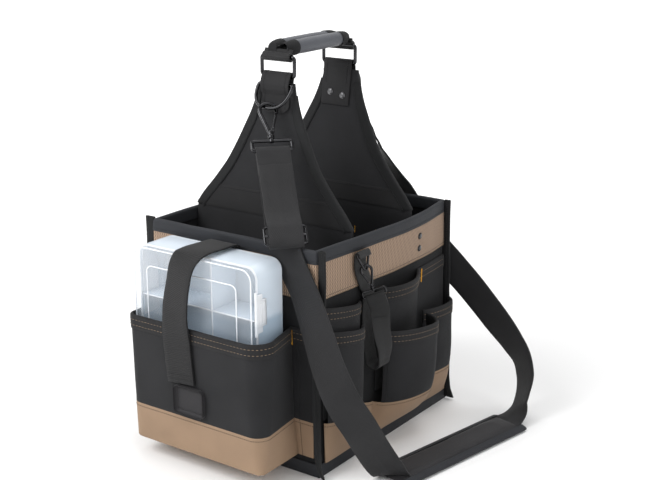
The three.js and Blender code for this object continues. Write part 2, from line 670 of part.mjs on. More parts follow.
// Padded grip: two soft lobes side by side, with a bound cuff at each end and webbing to the rings
function gripRing(y, scale) {
  const radius = GRIP.lobe * scale;
  const meet = Math.PI - Math.asin(GRIP.neck);
  const steps = 9;
  return [1, -1].flatMap((side) => range(steps).map((k) => {
    const angle = lerp(-meet, meet, k / (steps - 1));
    return vec(side * (GRIP.spread + radius * Math.cos(angle)), y, GRIP.z + side * radius * Math.sin(angle));
  }));
}

function buildHandle() {
  const [cuffFront, cuffRear] = [GRIP.front + GRIP.cuff, GRIP.rear - GRIP.cuff];
  const body = [[cuffFront, 0.97], [cuffFront + 8, 1], [cuffRear - 8, 1], [cuffRear, 0.97]];
  add('handle_grip', loft(body.map(([y, scale]) => gripRing(y, scale))), gripCloth);
  const cuffs = {
    grip_cuff_front: [[GRIP.front, 0.72], [GRIP.front + 5, 0.88], [cuffFront - GAP, 0.97]],
    grip_cuff_rear: [[cuffRear + GAP, 0.97], [GRIP.rear - 5, 0.88], [GRIP.rear, 0.72]],
  };
  for (const [name, rows] of Object.entries(cuffs)) {
    add(name, loft(rows.map(([y, scale]) => gripRing(y, scale))), canvas);
  }

  const halfTurn = 8;
  for (const row of ENDS) {
    const ringY = dividerY(row, RING.bottom);
    const start = row.out < 0 ? GRIP.front - 1 : GRIP.rear + 1;
    const radius = RING.wire + GAP + WEBBING / 2 + 0.5;
    const loop = range(halfTurn + 1).map((k) => {
      const angle = Math.PI * (0.5 - k / halfTurn);
      const out = vec(0, row.out * Math.cos(angle), Math.sin(angle));
      return { at: vec(0, ringY, RING.top).addScaledVector(out, radius), face: out };
    });
    const leg = (z, faceZ) => ({ at: vec(0, start, z), face: vec(0, 0, faceZ) });
    const stations = [leg(GRIP.z, 1), ...loop, leg(RING.top - radius + 1, -1)];
    add(`handle_web_${row.end}`, ribbon(stations, STRAP_WIDTH, WEBBING, 24), webbing);
  }
}

// Snap hook in its own plane: u across, v up from the webbing bar, facing +w
function hookParts(loopHalf) {
  const loopPath = roundedRectangle(loopHalf, HOOK.loopHeight / 2, 3, 3)
    .map((point) => vec(point.x, point.y + HOOK.loopHeight / 2, 0));
  const loop = wire(loopPath, vec(0, 0, 1), HOOK.loopWire, true);

  const postFoot = HOOK.loopHeight + HOOK.loopWire + GAP;
  const post = new THREE.CylinderGeometry(HOOK.post - 0.6, HOOK.post, HOOK.postTop - postFoot, 12)
    .translate(0, (HOOK.postTop + postFoot) / 2, 0);
  const arcSteps = 10;
  const arc = range(arcSteps + 1).map((k) => {
    const angle = Math.PI * (1 - k / arcSteps);
    return vec(HOOK.bow * Math.cos(angle), HOOK_BOW.centre + HOOK.bow * Math.sin(angle), 0);
  });
  const bowPath = [
    vec(-0.5, HOOK.postTop - 6, 0), vec(-2, HOOK.postTop, 0), vec(-HOOK.bow + 0.4, HOOK_BOW.shoulder - 4, 0),
    ...arc, vec(HOOK.bow, HOOK_BOW.noseEnd, 0),
  ];
  const body = joined(post, wire(bowPath, vec(0, 0, 1), HOOK.wire, false));

  const [foot, tip] = [vec(GATE.pivotU, GATE.pivotV, 0), vec(GATE.tipU, GATE.tipV, 0)];
  const gate = wire([foot, foot.clone().lerp(tip, 0.5), tip], vec(0, 0, 1), GATE.radius, false, 10);
  return { loop, body, gate };
}

// A frame whose v axis runs from the webbing bar to the ring that the hook is clipped to
function hookFrame(seat, bar, across, scale) {
  const up = seat.clone().sub(bar).normalize();
  const side = across.clone().addScaledVector(up, -across.dot(up)).normalize();
  const group = new THREE.Group();
  group.applyMatrix4(new THREE.Matrix4().makeBasis(side, up, side.clone().cross(up)));
  group.position.copy(seat).addScaledVector(up, -HOOK_SEAT * scale);
  group.scale.setScalar(scale);
  bag.add(group);
  return { group, bar: group.position.clone(), up, side, out: side.clone().cross(up) };
}

// Where each half of the shoulder strap crosses the rim of the bag
const RIM_CROSSING = { front: vec(72, -126, 240), rear: vec(48, 126, 241) };

function strapHookFrame(row) {
  const seat = dRingPoint(row, 0, D_RING.drop);
  const pull = RIM_CROSSING[row.end].clone().sub(seat).normalize();
  const across = vec(-pull.y, pull.x, 0);
  across.multiplyScalar(-row.out * Math.sign(across.x));
  return hookFrame(seat, seat.clone().add(pull), across, 1);
}

// Webbing folded round a bar: a tail behind, the turn over the bar, and the front layer
function foldRound(frame, barRadius, thickness, tail) {
  const radius = barRadius + GAP + thickness / 2;
  const layer = thickness / 2 + GAP;
  const place = (up, out) => frame.bar.clone().addScaledVector(frame.up, up).addScaledVector(frame.out, out);
  const turnSteps = 6;
  const turn = range(turnSteps + 1).map((k) => {
    const angle = Math.PI * (k / turnSteps - 0.5);
    const face = frame.up.clone().multiplyScalar(Math.cos(angle)).addScaledVector(frame.out, Math.sin(angle));
    return { at: frame.bar.clone().addScaledVector(face, radius), face };
  });
  const back = frame.out.clone().negate();
  return [
    { at: place(-tail, -layer), face: back },
    { at: place(-tail * 0.4, -layer - 0.4), face: back },
    ...turn,
    { at: place(-tail * 0.4, layer + 0.4), face: frame.out },
    { at: place(-tail, layer), face: frame.out },
  ];
}

// Hanging stretch of each strap half, from the rim down to the pad: point and facing direction
const FRONT_ROUTE = [
  { x: 64, y: -118.5, z: 249.5, fx: 0.35, fy: -0.75, fz: 0.55 },
  { x: 70, y: -125.2, z: 241.4, fx: 0.15, fy: -0.9, fz: 0.4 },
  { x: 74, y: -126, z: 232, fx: 0.05, fy: -1, fz: 0.1 },
  { x: 83, y: -126.5, z: 217, fx: 0, fy: -1, fz: 0 },
  { x: 97, y: -129, z: 197, fx: 0, fy: -1, fz: 0 },
  { x: 118.5, y: -136.5, z: 161, fx: 0.1, fy: -1, fz: 0.1 },
  { x: 133, y: -139, z: 129, fx: 0.25, fy: -0.95, fz: 0.15 },
  { x: 149, y: -138, z: 98, fx: 0.45, fy: -0.85, fz: 0.3 },
  { x: 160.5, y: -127, z: 71, fx: 0.58, fy: -0.75, fz: 0.3 },
  { x: 166, y: -111, z: 43, fx: 0.58, fy: -0.68, fz: 0.45 },
  { x: 170, y: -99, z: 23, fx: 0.5, fy: -0.55, fz: 0.7 },
  { x: 171, y: -91, z: 12, fx: 0.25, fy: -0.38, fz: 0.92 },
  { x: 170.6, y: -84.9, z: 6.6, fx: 0, fy: -0.1, fz: 1 },
  { x: 171.5, y: -80.3, z: 4.8, fx: 0, fy: 0, fz: 1 },
];
const REAR_ROUTE = [
  { x: 37, y: 117, z: 264, fx: 0.25, fy: 0.8, fz: 0.5 },
  { x: 46, y: 124, z: 243.5, fx: -0.1, fy: 0.8, fz: 0.6 },
  { x: 50, y: 127, z: 234, fx: 0, fy: 1, fz: 0.2 },
  { x: 59, y: 128, z: 219, fx: 0, fy: 1, fz: 0 },
  { x: 82, y: 130, z: 189, fx: -0.1, fy: 1, fz: 0 },
  { x: 112, y: 131.5, z: 161, fx: -0.1, fy: 1, fz: -0.1 },
  { x: 136, y: 132, z: 140, fx: 0, fy: 1, fz: -0.1 },
  { x: 151, y: 132.5, z: 125.5, fx: 0.1, fy: 1, fz: -0.15 },
  { x: 169.5, y: 134, z: 106, fx: 0.2, fy: 1, fz: -0.2 },
  { x: 188.7, y: 136, z: 84.2, fx: 0.4, fy: 0.9, fz: -0.2 },
  { x: 201.7, y: 137, z: 65.6, fx: 0.5, fy: 0.85, fz: -0.2 },
  { x: 207.7, y: 136, z: 48.3, fx: 0.55, fy: 0.8, fz: -0.25 },
  { x: 209.5, y: 131.5, z: 31, fx: 0.5, fy: 0.7, fz: -0.5 },
  { x: 209.3, y: 122, z: 16, fx: 0.25, fy: 0.45, fz: -0.88 },
  { x: 210.5, y: 111.5, z: 6.8, fx: 0, fy: 0.1, fz: -1 },
  { x: 209.5, y: 105.6, z: 4.8, fx: 0, fy: 0, fz: -1 },
];
const PAD = { from: vec(172, -78, 0), to: vec(209, 103, 0), width: 46, thickness: 7 };

function routeStations(rows) {
  return rows.map(({ x, y, z, fx = 0, fy, fz }) => ({ at: vec(x, y, z), face: vec(fx, fy, fz) }));
}

function buildShoulderStrap() {
  const routes = { front: FRONT_ROUTE, rear: REAR_ROUTE };
  const { loop, body, gate } = hookParts(HOOK.loopHalf);
  for (const row of ENDS) {
    const frame = strapHookFrame(row);
    add(`strap_loop_${row.end}`, loop.clone(), blackMetal, frame.group);
    add(`strap_hook_${row.end}`, body.clone(), blackMetal, frame.group);
    add(`strap_gate_${row.end}`, gate.clone(), blackMetal, frame.group);
    const stations = [...foldRound(frame, HOOK.loopWire, WEBBING, 26), ...routeStations(routes[row.end])];
    add(`strap_${row.end}`, ribbon(stations, STRAP_WIDTH, WEBBING, 78), webbing);
    if (row.end === 'front') addSlider(frame);
  }

  const along = PAD.to.clone().sub(PAD.from).normalize();
  const across = vec(along.y, -along.x, 0);
  const rows = [[0.3, 0.82], [9, 0.96], [25, 1], [-25, 1], [-9, 0.96], [-0.3, 0.82]];
  const rings = rows.map(([inset, scale]) => {
    const foot = (inset > 0 ? PAD.from : PAD.to).clone().addScaledVector(along, inset);
    foot.z = PAD.thickness / 2;
    return roundedRectangle((PAD.width / 2) * scale, foot.z, foot.z - 0.5, 3)
      .map((point) => foot.clone().addScaledVector(across, point.x).add(vec(0, 0, point.y)));
  });
  add('shoulder_pad', loft(rings), canvas);
}

// Three-bar slider lying on the face of the front webbing, just above the rim
function addSlider(frame) {
  const shape = new THREE.Shape(roundedRectangle(SLIDER.width / 2, SLIDER.height / 2, 4));
  const slotHeight = (SLIDER.height - 3 * SLIDER.bar) / 2;
  const slotCentre = (slotHeight + SLIDER.bar) / 2;
  for (const side of [-1, 1]) {
    const slot = roundedRectangle(SLIDER.slot / 2, slotHeight / 2, slotHeight / 2 - 0.2, 2)
      .map((point) => new THREE.Vector2(point.x, point.y + side * slotCentre));
    shape.holes.push(new THREE.Path(slot));
  }
  const plate = new THREE.ExtrudeGeometry(shape, { depth: SLIDER.thickness, bevelEnabled: false });
  const group = new THREE.Group();
  group.applyMatrix4(new THREE.Matrix4().makeBasis(frame.side, frame.up, frame.out));
  const lift = WEBBING + GAP + 8.2;
  group.position.copy(frame.bar).addScaledVector(frame.up, -SLIDER.below).addScaledVector(frame.out, lift);
  bag.add(group);
  add('strap_slider', plate, blackMetal, group);
}

// Tape loop on the right wall: rolled top with a wire triangle, hanging loop and small snap hook
const TAPE_Y = -57;
const ROLL = { off: 6.6, z: 222.5 };
const TRIANGLE = { halfWidth: 10.5, z: 207, off: 10.7, wire: 1.3 };
const EYE = { off: 17, y: -49, z: 177 };
const EYE_HALF_WIDTH = 19;
const TAPE_ROUTE = [
  { off: 3.9, y: -57, z: 209, fx: 1, fy: 0 },
  { off: 3.9, y: -50.5, z: 193, fx: 1, fy: 0 },
  { off: 3.8, y: -43.6, z: 180, fx: 1, fy: 0 },
  { off: 3.6, y: -43, z: 150, fx: 1, fy: 0 },
  { off: 4.5, y: -43, z: 125, fx: 1, fy: 0 },
  { off: 8, y: -43, z: 110, fx: 1, fy: 0 },
];
const TAPE_BEND = { off: 16.5, y: -43, z: 107, radius: 8.6 };
const TAPE_RETURN = [
  { off: 25, y: -43, z: 108, fx: -1, fy: 0 },
  { off: 26, y: -43.5, z: 120, fx: -1, fy: 0.2 },
  { off: 23, y: -45.5, z: 140, fx: -0.9, fy: 0.5 },
];

function buildTapeLoop() {
  const wallPoint = ({ off, y, z }) => sideFace(y, z, off);
  const rollCentre = sideFace(TAPE_Y, ROLL.z, ROLL.off);
  const rollRadius = TRIANGLE.wire + GAP + TAPE_WEBBING / 2;
  const turnSteps = 6;
  const roll = range(turnSteps + 1).map((k) => {
    const angle = (Math.PI * k) / turnSteps;
    const out = vec(Math.cos(angle), 0, Math.sin(angle));
    return { at: rollCentre.clone().addScaledVector(out, rollRadius), face: out.negate() };
  });
  const frontLeg = { at: rollCentre.clone().add(vec(rollRadius + 0.9, 0, -3)), face: vec(-1, 0, 0) };
  const down = TAPE_ROUTE.map((row) => ({ at: wallPoint(row), face: vec(row.fx, row.fy, 0) }));
  const bottom = range(5).map((k) => {
    const angle = Math.PI * ((k + 1) / 6);
    const out = vec(-Math.cos(angle), 0, -Math.sin(angle));
    return { at: wallPoint(TAPE_BEND).addScaledVector(out, TAPE_BEND.radius), face: out.negate() };
  });
  const up = TAPE_RETURN.map((row) => ({ at: wallPoint(row), face: vec(row.fx, row.fy, 0) }));

  const bottomOfTriangle = sideFace(TAPE_Y, TRIANGLE.z, TRIANGLE.off);
  const frame = hookFrame(bottomOfTriangle, wallPoint(EYE), vec(-0.8, -0.6, 0), TAPE_HOOK_SCALE);
  const { loop, body, gate } = hookParts(EYE_HALF_WIDTH);
  const neck = new THREE.CylinderGeometry(2.4, 2.4, 5, 12).translate(0, HOOK.loopHeight + 2, 0);
  add('tape_hook', joined(loop, neck, body), blackMetal, frame.group);
  add('tape_gate', gate, blackMetal, frame.group);

  const eyeFold = foldRound(frame, HOOK.loopWire * TAPE_HOOK_SCALE, TAPE_WEBBING, 14)
    .map(({ at, face }) => ({ at, face: face.clone().negate() }));
  const stations = [frontLeg, ...roll, ...down, ...bottom, ...up, ...eyeFold];
  add('tape_strap', ribbon(stations, TAPE_WIDTH, TAPE_WEBBING, 88), webbing);

  const corner = 3;
  const topBar = [-1, 1].map((side) => rollCentre.clone().add(vec(0, side * TRIANGLE.halfWidth, 0)));
  const foot = [1, -1].map((side) => bottomOfTriangle.clone().add(vec(0, side * corner, 0)));
  const path = [topBar[0], rollCentre.clone(), topBar[1], foot[0], bottomOfTriangle.clone(), foot[1]];
  const slope = rollCentre.clone().sub(bottomOfTriangle).normalize();
  add('tape_ring', wire(path, vec(0, 1, 0).cross(slope), TRIANGLE.wire, true), blackMetal);
}

buildBody();
buildBands();
buildSidePockets();
buildCasePocket();
buildCase();
buildCaseStrap();
for (const row of ENDS) {
  buildDivider(row);
  buildTabAndRings(row);
}
buildHandle();
buildShoulderStrap();
buildTapeLoop();

export default bag;
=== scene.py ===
"""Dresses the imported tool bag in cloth, webbing, plated fittings and clear plastic, on a pale floor."""

import logging
import math
from bisect import bisect_right
from dataclasses import dataclass, field
from enum import Enum
from typing import Callable, Iterable, Sequence

import bpy
from mathutils import Matrix, Vector, noise


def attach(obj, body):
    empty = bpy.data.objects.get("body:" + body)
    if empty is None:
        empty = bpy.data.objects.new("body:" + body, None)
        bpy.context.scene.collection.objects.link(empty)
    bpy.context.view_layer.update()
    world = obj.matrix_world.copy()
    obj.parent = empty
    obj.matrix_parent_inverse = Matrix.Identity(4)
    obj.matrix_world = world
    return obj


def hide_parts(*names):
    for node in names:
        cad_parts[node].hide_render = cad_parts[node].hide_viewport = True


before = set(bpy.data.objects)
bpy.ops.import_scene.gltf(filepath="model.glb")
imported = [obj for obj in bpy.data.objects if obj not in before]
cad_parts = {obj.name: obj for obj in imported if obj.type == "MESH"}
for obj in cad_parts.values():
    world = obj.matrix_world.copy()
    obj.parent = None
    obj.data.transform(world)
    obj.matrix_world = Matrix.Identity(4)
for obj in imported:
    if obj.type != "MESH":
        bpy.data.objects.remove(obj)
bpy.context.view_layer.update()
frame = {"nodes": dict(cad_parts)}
LOG = logging.getLogger("tool_bag")
MM = 0.001

Piece = bpy.types.Object
Socket = bpy.types.NodeSocket
Colour = tuple[float, float, float]
Pair = tuple[float, float]
Table = tuple[tuple[float, ...], ...]
Surface = Callable[[float, float], Vector]
Path = Sequence[Vector]
Row = list[tuple[Vector, Vector]]


class Body(Enum):
    """The rigid bodies that pieces ride on."""

    BAG = "bag"
    GATE_FRONT = "strap_gate_front"
    GATE_REAR = "strap_gate_rear"
    GATE_TAPE = "tape_gate"
    LATCH = "case_latch"


class Slot(Enum):
    """The record's material slots."""

    CANVAS = "canvas_black"
    TAN = "canvas_tan"
    MESH = "mesh_tan"
    TAPE = "grosgrain"
    WEBBING = "webbing"
    GRIP = "grip_cloth"
    METAL = "black_nickel"
    CLEAR = "clear_plastic"


class Coordinate(Enum):
    """Where a pattern is laid out: along the piece's own cloth or in the object's space."""

    CLOTH = "UV"
    SPACE = "Object"


class Weave(Enum):
    """How the threads of a cloth cross."""

    PLAIN = "plain"
    RIB = "rib"
    TWILL = "twill"


def vec(x: float, y: float, z: float) -> Vector:
    """A point or direction in millimetres."""
    return Vector((x, y, z))


def mix(low: float, high: float, share: float) -> float:
    """The value a share of the way from low to high."""
    return low + (high - low) * share


def clamp(value: float, low: float = 0.0, high: float = 1.0) -> float:
    """The value held between two limits."""
    return max(low, min(high, value))


def ripple(point: Vector, size: float, amount: float) -> float:
    """A smooth, repeatable unevenness of cloth.

    Args:
        point: where on the cloth, in millimetres.
        size: about how far apart two swells lie.
        amount: the largest rise.

    Returns:
        The rise at that point, in millimetres.
    """
    return amount * noise.noise(point / size)


def down_rows(rows: Sequence[Sequence[float]], share: float) -> list[float]:
    """The columns of a table, a share of the way down its rows."""
    place = share * (len(rows) - 1)
    low = min(len(rows) - 2, int(place))
    return [mix(first, second, place - low) for first, second in zip(rows[low], rows[low + 1])]


def at_key(rows: Sequence[Sequence[float]], key: float) -> list[float]:
    """The columns of a table where its first column reaches a key."""
    for low, high in zip(rows, rows[1:]):
        if key <= high[0]:
            break
    share = clamp((key - low[0]) / (high[0] - low[0]))
    return [mix(first, second, share) for first, second in zip(low, high)]


def leg_at(lengths: Sequence[float], share: float) -> tuple[int, float]:
    """Which leg of a route a share of its whole length falls on, and the share of that leg."""
    place = share * sum(lengths)
    for leg, length in enumerate(lengths):
        if place <= length:
            break
        place -= length
    return leg, clamp(place / length)


class Nodes:
    """Lays out the nodes of one material."""

    def __init__(self, name: str) -> None:
        """Starts a node material with its principled shader."""
        self.material = bpy.data.materials.new(name)
        self.material.use_nodes = True
        self.tree = self.material.node_tree
        self.shader = self.tree.nodes["Principled BSDF"]

    def add(self, kind: str, *inputs: object, **settings: object) -> bpy.types.Node:
        """Adds a node.

        Args:
            kind: the node's type.
            inputs: a value or a socket for each input in turn, or None to leave one.
            settings: the node's own settings by name.

        Returns:
            The new node.
        """
        node = self.tree.nodes.new(kind)
        for key, value in settings.items():
            setattr(node, key, value)
        for index, value in enumerate(inputs):
            self.feed(node.inputs[index], value)
        return node

    def feed(self, socket: Socket, value: object) -> None:
        """Links a socket into another, or sets its value."""
        if isinstance(value, Socket):
            self.tree.links.new(value, socket)
        elif value is not None:
            socket.default_value = value

    def math(self, operation: str, *values: object) -> Socket:
        """The result of one arithmetic node."""
        return self.add("ShaderNodeMath", *values, operation=operation).outputs[0]

    def wave(self, value: Socket, pitch: float) -> Socket:
        """A sine from -1 to 1 that repeats every pitch."""
        return self.math("SINE", self.math("MULTIPLY", value, 2.0 * math.pi / pitch))

    def axes(self, coordinate: Coordinate) -> list[Socket]:
        """The pattern's coordinates in millimetres, one socket an axis."""
        place = self.add("ShaderNodeTexCoord").outputs[coordinate.value]
        outputs = self.add("ShaderNodeSeparateXYZ", place).outputs
        if coordinate is Coordinate.CLOTH:
            return list(outputs)
        return [self.math("MULTIPLY", output, 1000.0) for output in outputs]

    def mottle(self, scale: float, detail: float = 3.0) -> Socket:
        """Soft noise from 0 to 1 in the object's space."""
        place = self.add("ShaderNodeTexCoord").outputs["Object"]
        return self.add("ShaderNodeTexNoise", place, None, scale, detail).outputs[0]

    def ramp(self, value: Socket, dark: Colour, light: Colour) -> Socket:
        """A colour that runs from dark to light with the value."""
        node = self.add("ShaderNodeValToRGB", value)
        for element, position, colour in zip(node.color_ramp.elements, (0.2, 0.8), (dark, light)):
            element.position = position
            element.color = (*colour, 1.0)
        return node.outputs[0]

    def bump(self, height: Socket, strength: float, depth: float) -> None:
        """Gives the shader a bump from a height of 0 to 1 and a depth in millimetres."""
        node = self.add("ShaderNodeBump")
        node.inputs["Strength"].default_value = strength
        node.inputs["Distance"].default_value = depth * MM
        self.feed(node.inputs["Height"], height)
        self.feed(self.shader.inputs["Normal"], node.outputs[0])

    def surface(self, **values: object) -> None:
        """Sets the shader's own sockets, with underscores for spaces in their names."""
        for key, value in values.items():
            self.feed(self.shader.inputs[key.replace("_", " ")], value)


def shade(colour: Colour, factor: float) -> Colour:
    """The colour made lighter or darker by a factor."""
    return tuple(min(1.0, value * factor) for value in colour)


@dataclass(frozen=True)
class Finish:
    """A surface finish, made into a material once."""

    name: str
    slot: Slot
    colour: Colour
    roughness: float

    def material(self) -> bpy.types.Material:
        """The finish's material, built the first time it is asked for."""
        known = bpy.data.materials.get(self.name)
        return known if known else self.build(Nodes(self.name))

    def build(self, nodes: Nodes) -> bpy.types.Material:
        """Lays out the finish's nodes."""
        nodes.surface(Base_Color=(*self.colour, 1.0), Roughness=self.roughness)
        return nodes.material


@dataclass(frozen=True)
class Cloth(Finish):
    """A woven cloth with its thread pitch, contrast, relief and sheen."""

    weave: Weave = Weave.PLAIN
    pitch: float = 1.0
    contrast: float = 0.3
    relief: float = 0.25
    sheen: float = 0.05
    coordinate: Coordinate = Coordinate.CLOTH
    width: float = 35.0

    def threads(self, nodes: Nodes) -> Socket:
        """The height of the threads, from 0 to 1."""
        across, along, third = nodes.axes(self.coordinate)
        if self.coordinate is Coordinate.SPACE:
            across, along = nodes.math("ADD", across, third), nodes.math("SUBTRACT", along, third)
        if self.weave is Weave.RIB:
            crossing = nodes.math("MULTIPLY", nodes.wave(along, self.pitch), 0.8)
            fine = nodes.math("MULTIPLY", nodes.wave(across, self.pitch * 0.55), 0.2)
            wave = nodes.math("ADD", crossing, fine)
        elif self.weave is Weave.TWILL:
            middle = nodes.math("ABSOLUTE", nodes.math("SUBTRACT", across, self.width / 2.0))
            wave = nodes.wave(nodes.math("ADD", middle, along), self.pitch)
            wave = nodes.math("MULTIPLY", wave, nodes.math("ABSOLUTE", nodes.wave(across, self.pitch * 1.3)))
        else:
            wave = nodes.math("MULTIPLY", nodes.wave(across, self.pitch), nodes.wave(along, self.pitch))
        return nodes.math("MULTIPLY_ADD", wave, 0.5, 0.5)

    def build(self, nodes: Nodes) -> bpy.types.Material:
        """Lays out threads, mottling, relief and sheen."""
        threads = self.threads(nodes)
        tone = nodes.math("MULTIPLY_ADD", nodes.mottle(26.0), 0.8, nodes.math("MULTIPLY", threads, 0.35))
        dark, light = shade(self.colour, 1.0 - self.contrast), shade(self.colour, 1.0 + self.contrast)
        nodes.surface(Base_Color=nodes.ramp(tone, dark, light), Roughness=self.roughness)
        nodes.surface(Sheen_Weight=self.sheen, Sheen_Roughness=0.45, Specular_IOR_Level=0.25)
        fuzz = nodes.math("MULTIPLY_ADD", nodes.mottle(900.0, 2.0), 0.35, threads)
        nodes.bump(fuzz, self.relief, 0.5)
        return nodes.material


@dataclass(frozen=True)
class Thread(Cloth):
    """Sewing thread, with its twist laid out in the object's space."""

    pitch: float = 0.5
    coordinate: Coordinate = Coordinate.SPACE


@dataclass(frozen=True)
class Net(Finish):
    """An open net of tan threads over a darker ground."""

    cell: float = 2.6

    def build(self, nodes: Nodes) -> bpy.types.Material:
        """Lays out staggered holes between raised threads."""
        across, along, _ = nodes.axes(Coordinate.CLOTH)
        columns = nodes.wave(across, self.cell)
        staggered = nodes.math("MULTIPLY", columns, nodes.wave(along, self.cell * 1.5))
        holes = nodes.math("MULTIPLY_ADD", nodes.math("MULTIPLY_ADD", columns, 0.7, staggered), 0.3, 0.5)
        tone = nodes.math("MULTIPLY_ADD", nodes.mottle(14.0), 0.2, nodes.math("MULTIPLY", holes, 0.9))
        nodes.surface(Base_Color=nodes.ramp(tone, shade(self.colour, 0.38), shade(self.colour, 1.62)))
        nodes.surface(Roughness=self.roughness, Sheen_Weight=0.1, Specular_IOR_Level=0.2)
        nodes.bump(holes, 0.5, 0.6)
        return nodes.material


@dataclass(frozen=True)
class Plated(Finish):
    """Glossy dark plating with faint unevenness."""

    def build(self, nodes: Nodes) -> bpy.types.Material:
        """Lays out the plating's tone and its fine ripple."""
        tone = nodes.ramp(nodes.mottle(120.0), shade(self.colour, 0.7), shade(self.colour, 1.5))
        nodes.surface(Base_Color=tone, Roughness=self.roughness, Metallic=1.0)
        nodes.surface(Coat_Weight=0.4, Coat_Roughness=0.08)
        nodes.bump(nodes.mottle(420.0), 0.12, 0.3)
        return nodes.material


@dataclass(frozen=True)
class Clear(Finish):
    """Clear moulded plastic that shows as a pale haze."""

    cover: float = 0.3
    # The colour below the shelf: painted shade for the compartments that little light reaches.
    painted_shade: Colour = (0.5, 0.65, 0.8)
    shelf: float = 168.0

    def build(self, nodes: Nodes) -> bpy.types.Material:
        """Lays out the haze, with a darker colour below the shelf as painted shade for the compartments that
        little light reaches.
        """
        _, _, height = nodes.axes(Coordinate.SPACE)
        share = nodes.math("MULTIPLY_ADD", height, 0.1, -0.1 * self.shelf)
        # Below the shelf the tone runs to the painted shade colour.
        tone = nodes.ramp(share, self.painted_shade, self.colour)
        nodes.surface(Base_Color=tone, Roughness=self.roughness, Alpha=self.cover, Specular_IOR_Level=0.6)
        return nodes.material


CANVAS = Cloth("black canvas", Slot.CANVAS, (0.0145, 0.0146, 0.016), 0.8, pitch=1.1, contrast=0.3, relief=0.4)
LINING = Cloth("black lining", Slot.CANVAS, (0.0095, 0.0096, 0.0105), 0.85, contrast=0.25, relief=0.3)
HEM = Cloth("folded hem", Slot.CANVAS, (0.0145, 0.0143, 0.0152), 0.78, pitch=1.1, contrast=0.28, relief=0.35)
PAD_CLOTH = Cloth("pad cloth", Slot.CANVAS, (0.02, 0.019, 0.021), 0.6, pitch=0.9, contrast=0.22, relief=0.2,
                  sheen=0.1, coordinate=Coordinate.SPACE)
TAN = Cloth("tan canvas", Slot.TAN, (0.275, 0.186, 0.121), 0.72, pitch=0.9, contrast=0.14, relief=0.2)
PIPING = Cloth("tan piping", Slot.TAN, (0.33, 0.23, 0.15), 0.7, pitch=0.8, contrast=0.12, relief=0.15,
               coordinate=Coordinate.SPACE)
TAN_MESH = Net("tan mesh", Slot.MESH, (0.245, 0.172, 0.122), 0.85)
TAPE = Cloth("binding tape", Slot.TAPE, (0.022, 0.0235, 0.0275), 0.7, weave=Weave.RIB, pitch=0.9,
             contrast=0.2)
EDGE_TAPE = Cloth("black edge tape", Slot.TAPE, (0.0075, 0.0078, 0.0085), 0.72, weave=Weave.RIB, pitch=0.9,
                  contrast=0.2)
RIBBED = Cloth("ribbed webbing", Slot.WEBBING, (0.0092, 0.0091, 0.0098), 0.62, weave=Weave.RIB, pitch=1.9,
               contrast=0.4, relief=0.7, sheen=0.08)
TWILL = Cloth("twill webbing", Slot.WEBBING, (0.0128, 0.0127, 0.0138), 0.6, weave=Weave.TWILL, pitch=1.7,
              contrast=0.35, relief=0.6, sheen=0.08)
NARROW = Cloth("narrow webbing", Slot.WEBBING, (0.014, 0.014, 0.0145), 0.6, weave=Weave.TWILL, pitch=1.4,
               contrast=0.35, relief=0.5, sheen=0.08, width=20.0)
GRIP = Cloth("grip cloth", Slot.GRIP, (0.062, 0.066, 0.078), 0.42, pitch=0.8, contrast=0.14, relief=0.15,
             sheen=0.25)
TAN_THREAD = Thread("tan thread", Slot.TAN, (0.205, 0.145, 0.094), 0.6)
AMBER_THREAD = Thread("amber thread", Slot.TAN, (0.62, 0.3, 0.02), 0.5)
DARK_THREAD = Thread("dark thread", Slot.TAPE, (0.008, 0.008, 0.009), 0.5)
GREY_THREAD = Thread("grey thread", Slot.TAPE, (0.045, 0.045, 0.048), 0.6)
NICKEL = Plated("black nickel", Slot.METAL, (0.021, 0.021, 0.023), 0.18)
RIVET = Plated("rivet metal", Slot.METAL, (0.12, 0.12, 0.125), 0.35)
# The second colour of each clear finish is painted shade below the shelf.
TRAY_CLEAR = Clear("clear tray", Slot.CLEAR, (0.84, 0.92, 1.0), 0.25, cover=0.52, painted_shade=(0.64, 0.78, 0.92))
LID_CLEAR = Clear("clear lid", Slot.CLEAR, (0.9, 0.94, 0.99), 0.14, cover=0.12, painted_shade=(0.66, 0.74, 0.82))
# Pale plastic of the latch and hinge ribs, also laid on the rims as a painted highlight where light gathers
# in the plastic's edges.
FROST_AND_EDGE_LIGHT = Clear("frosted rim", Slot.CLEAR, (0.93, 0.95, 0.98), 0.22, cover=0.7, painted_shade=(0.78, 0.82, 0.87))


def start_clean() -> None:
    """Leaves edit mode and deselects everything."""
    if bpy.context.object and bpy.context.object.mode != "OBJECT":
        bpy.ops.object.mode_set(mode="OBJECT")
    bpy.ops.object.select_all(action="DESELECT")


def choose(piece: Piece) -> None:
    """Selects one piece alone and makes it active."""
    start_clean()
    piece.select_set(True)
    bpy.context.view_layer.objects.active = piece


def modify(piece: Piece, kind: str, **settings: object) -> None:
    """Adds a modifier with its settings and applies it."""
    choose(piece)
    modifier = piece.modifiers.new(kind.title(), kind)
    for key, value in settings.items():
        setattr(modifier, key, value)
    bpy.ops.object.modifier_apply(modifier=modifier.name)


def smooth(piece: Piece, angle: float = 40.0) -> None:
    """Shades a piece smooth up to an edge angle in degrees."""
    choose(piece)
    bpy.ops.object.shade_smooth_by_angle(angle=math.radians(angle))


def name_piece(piece: Piece, name: str) -> Piece:
    """Names a piece and its mesh alike."""
    piece.name = name
    piece.data.name = name
    return piece


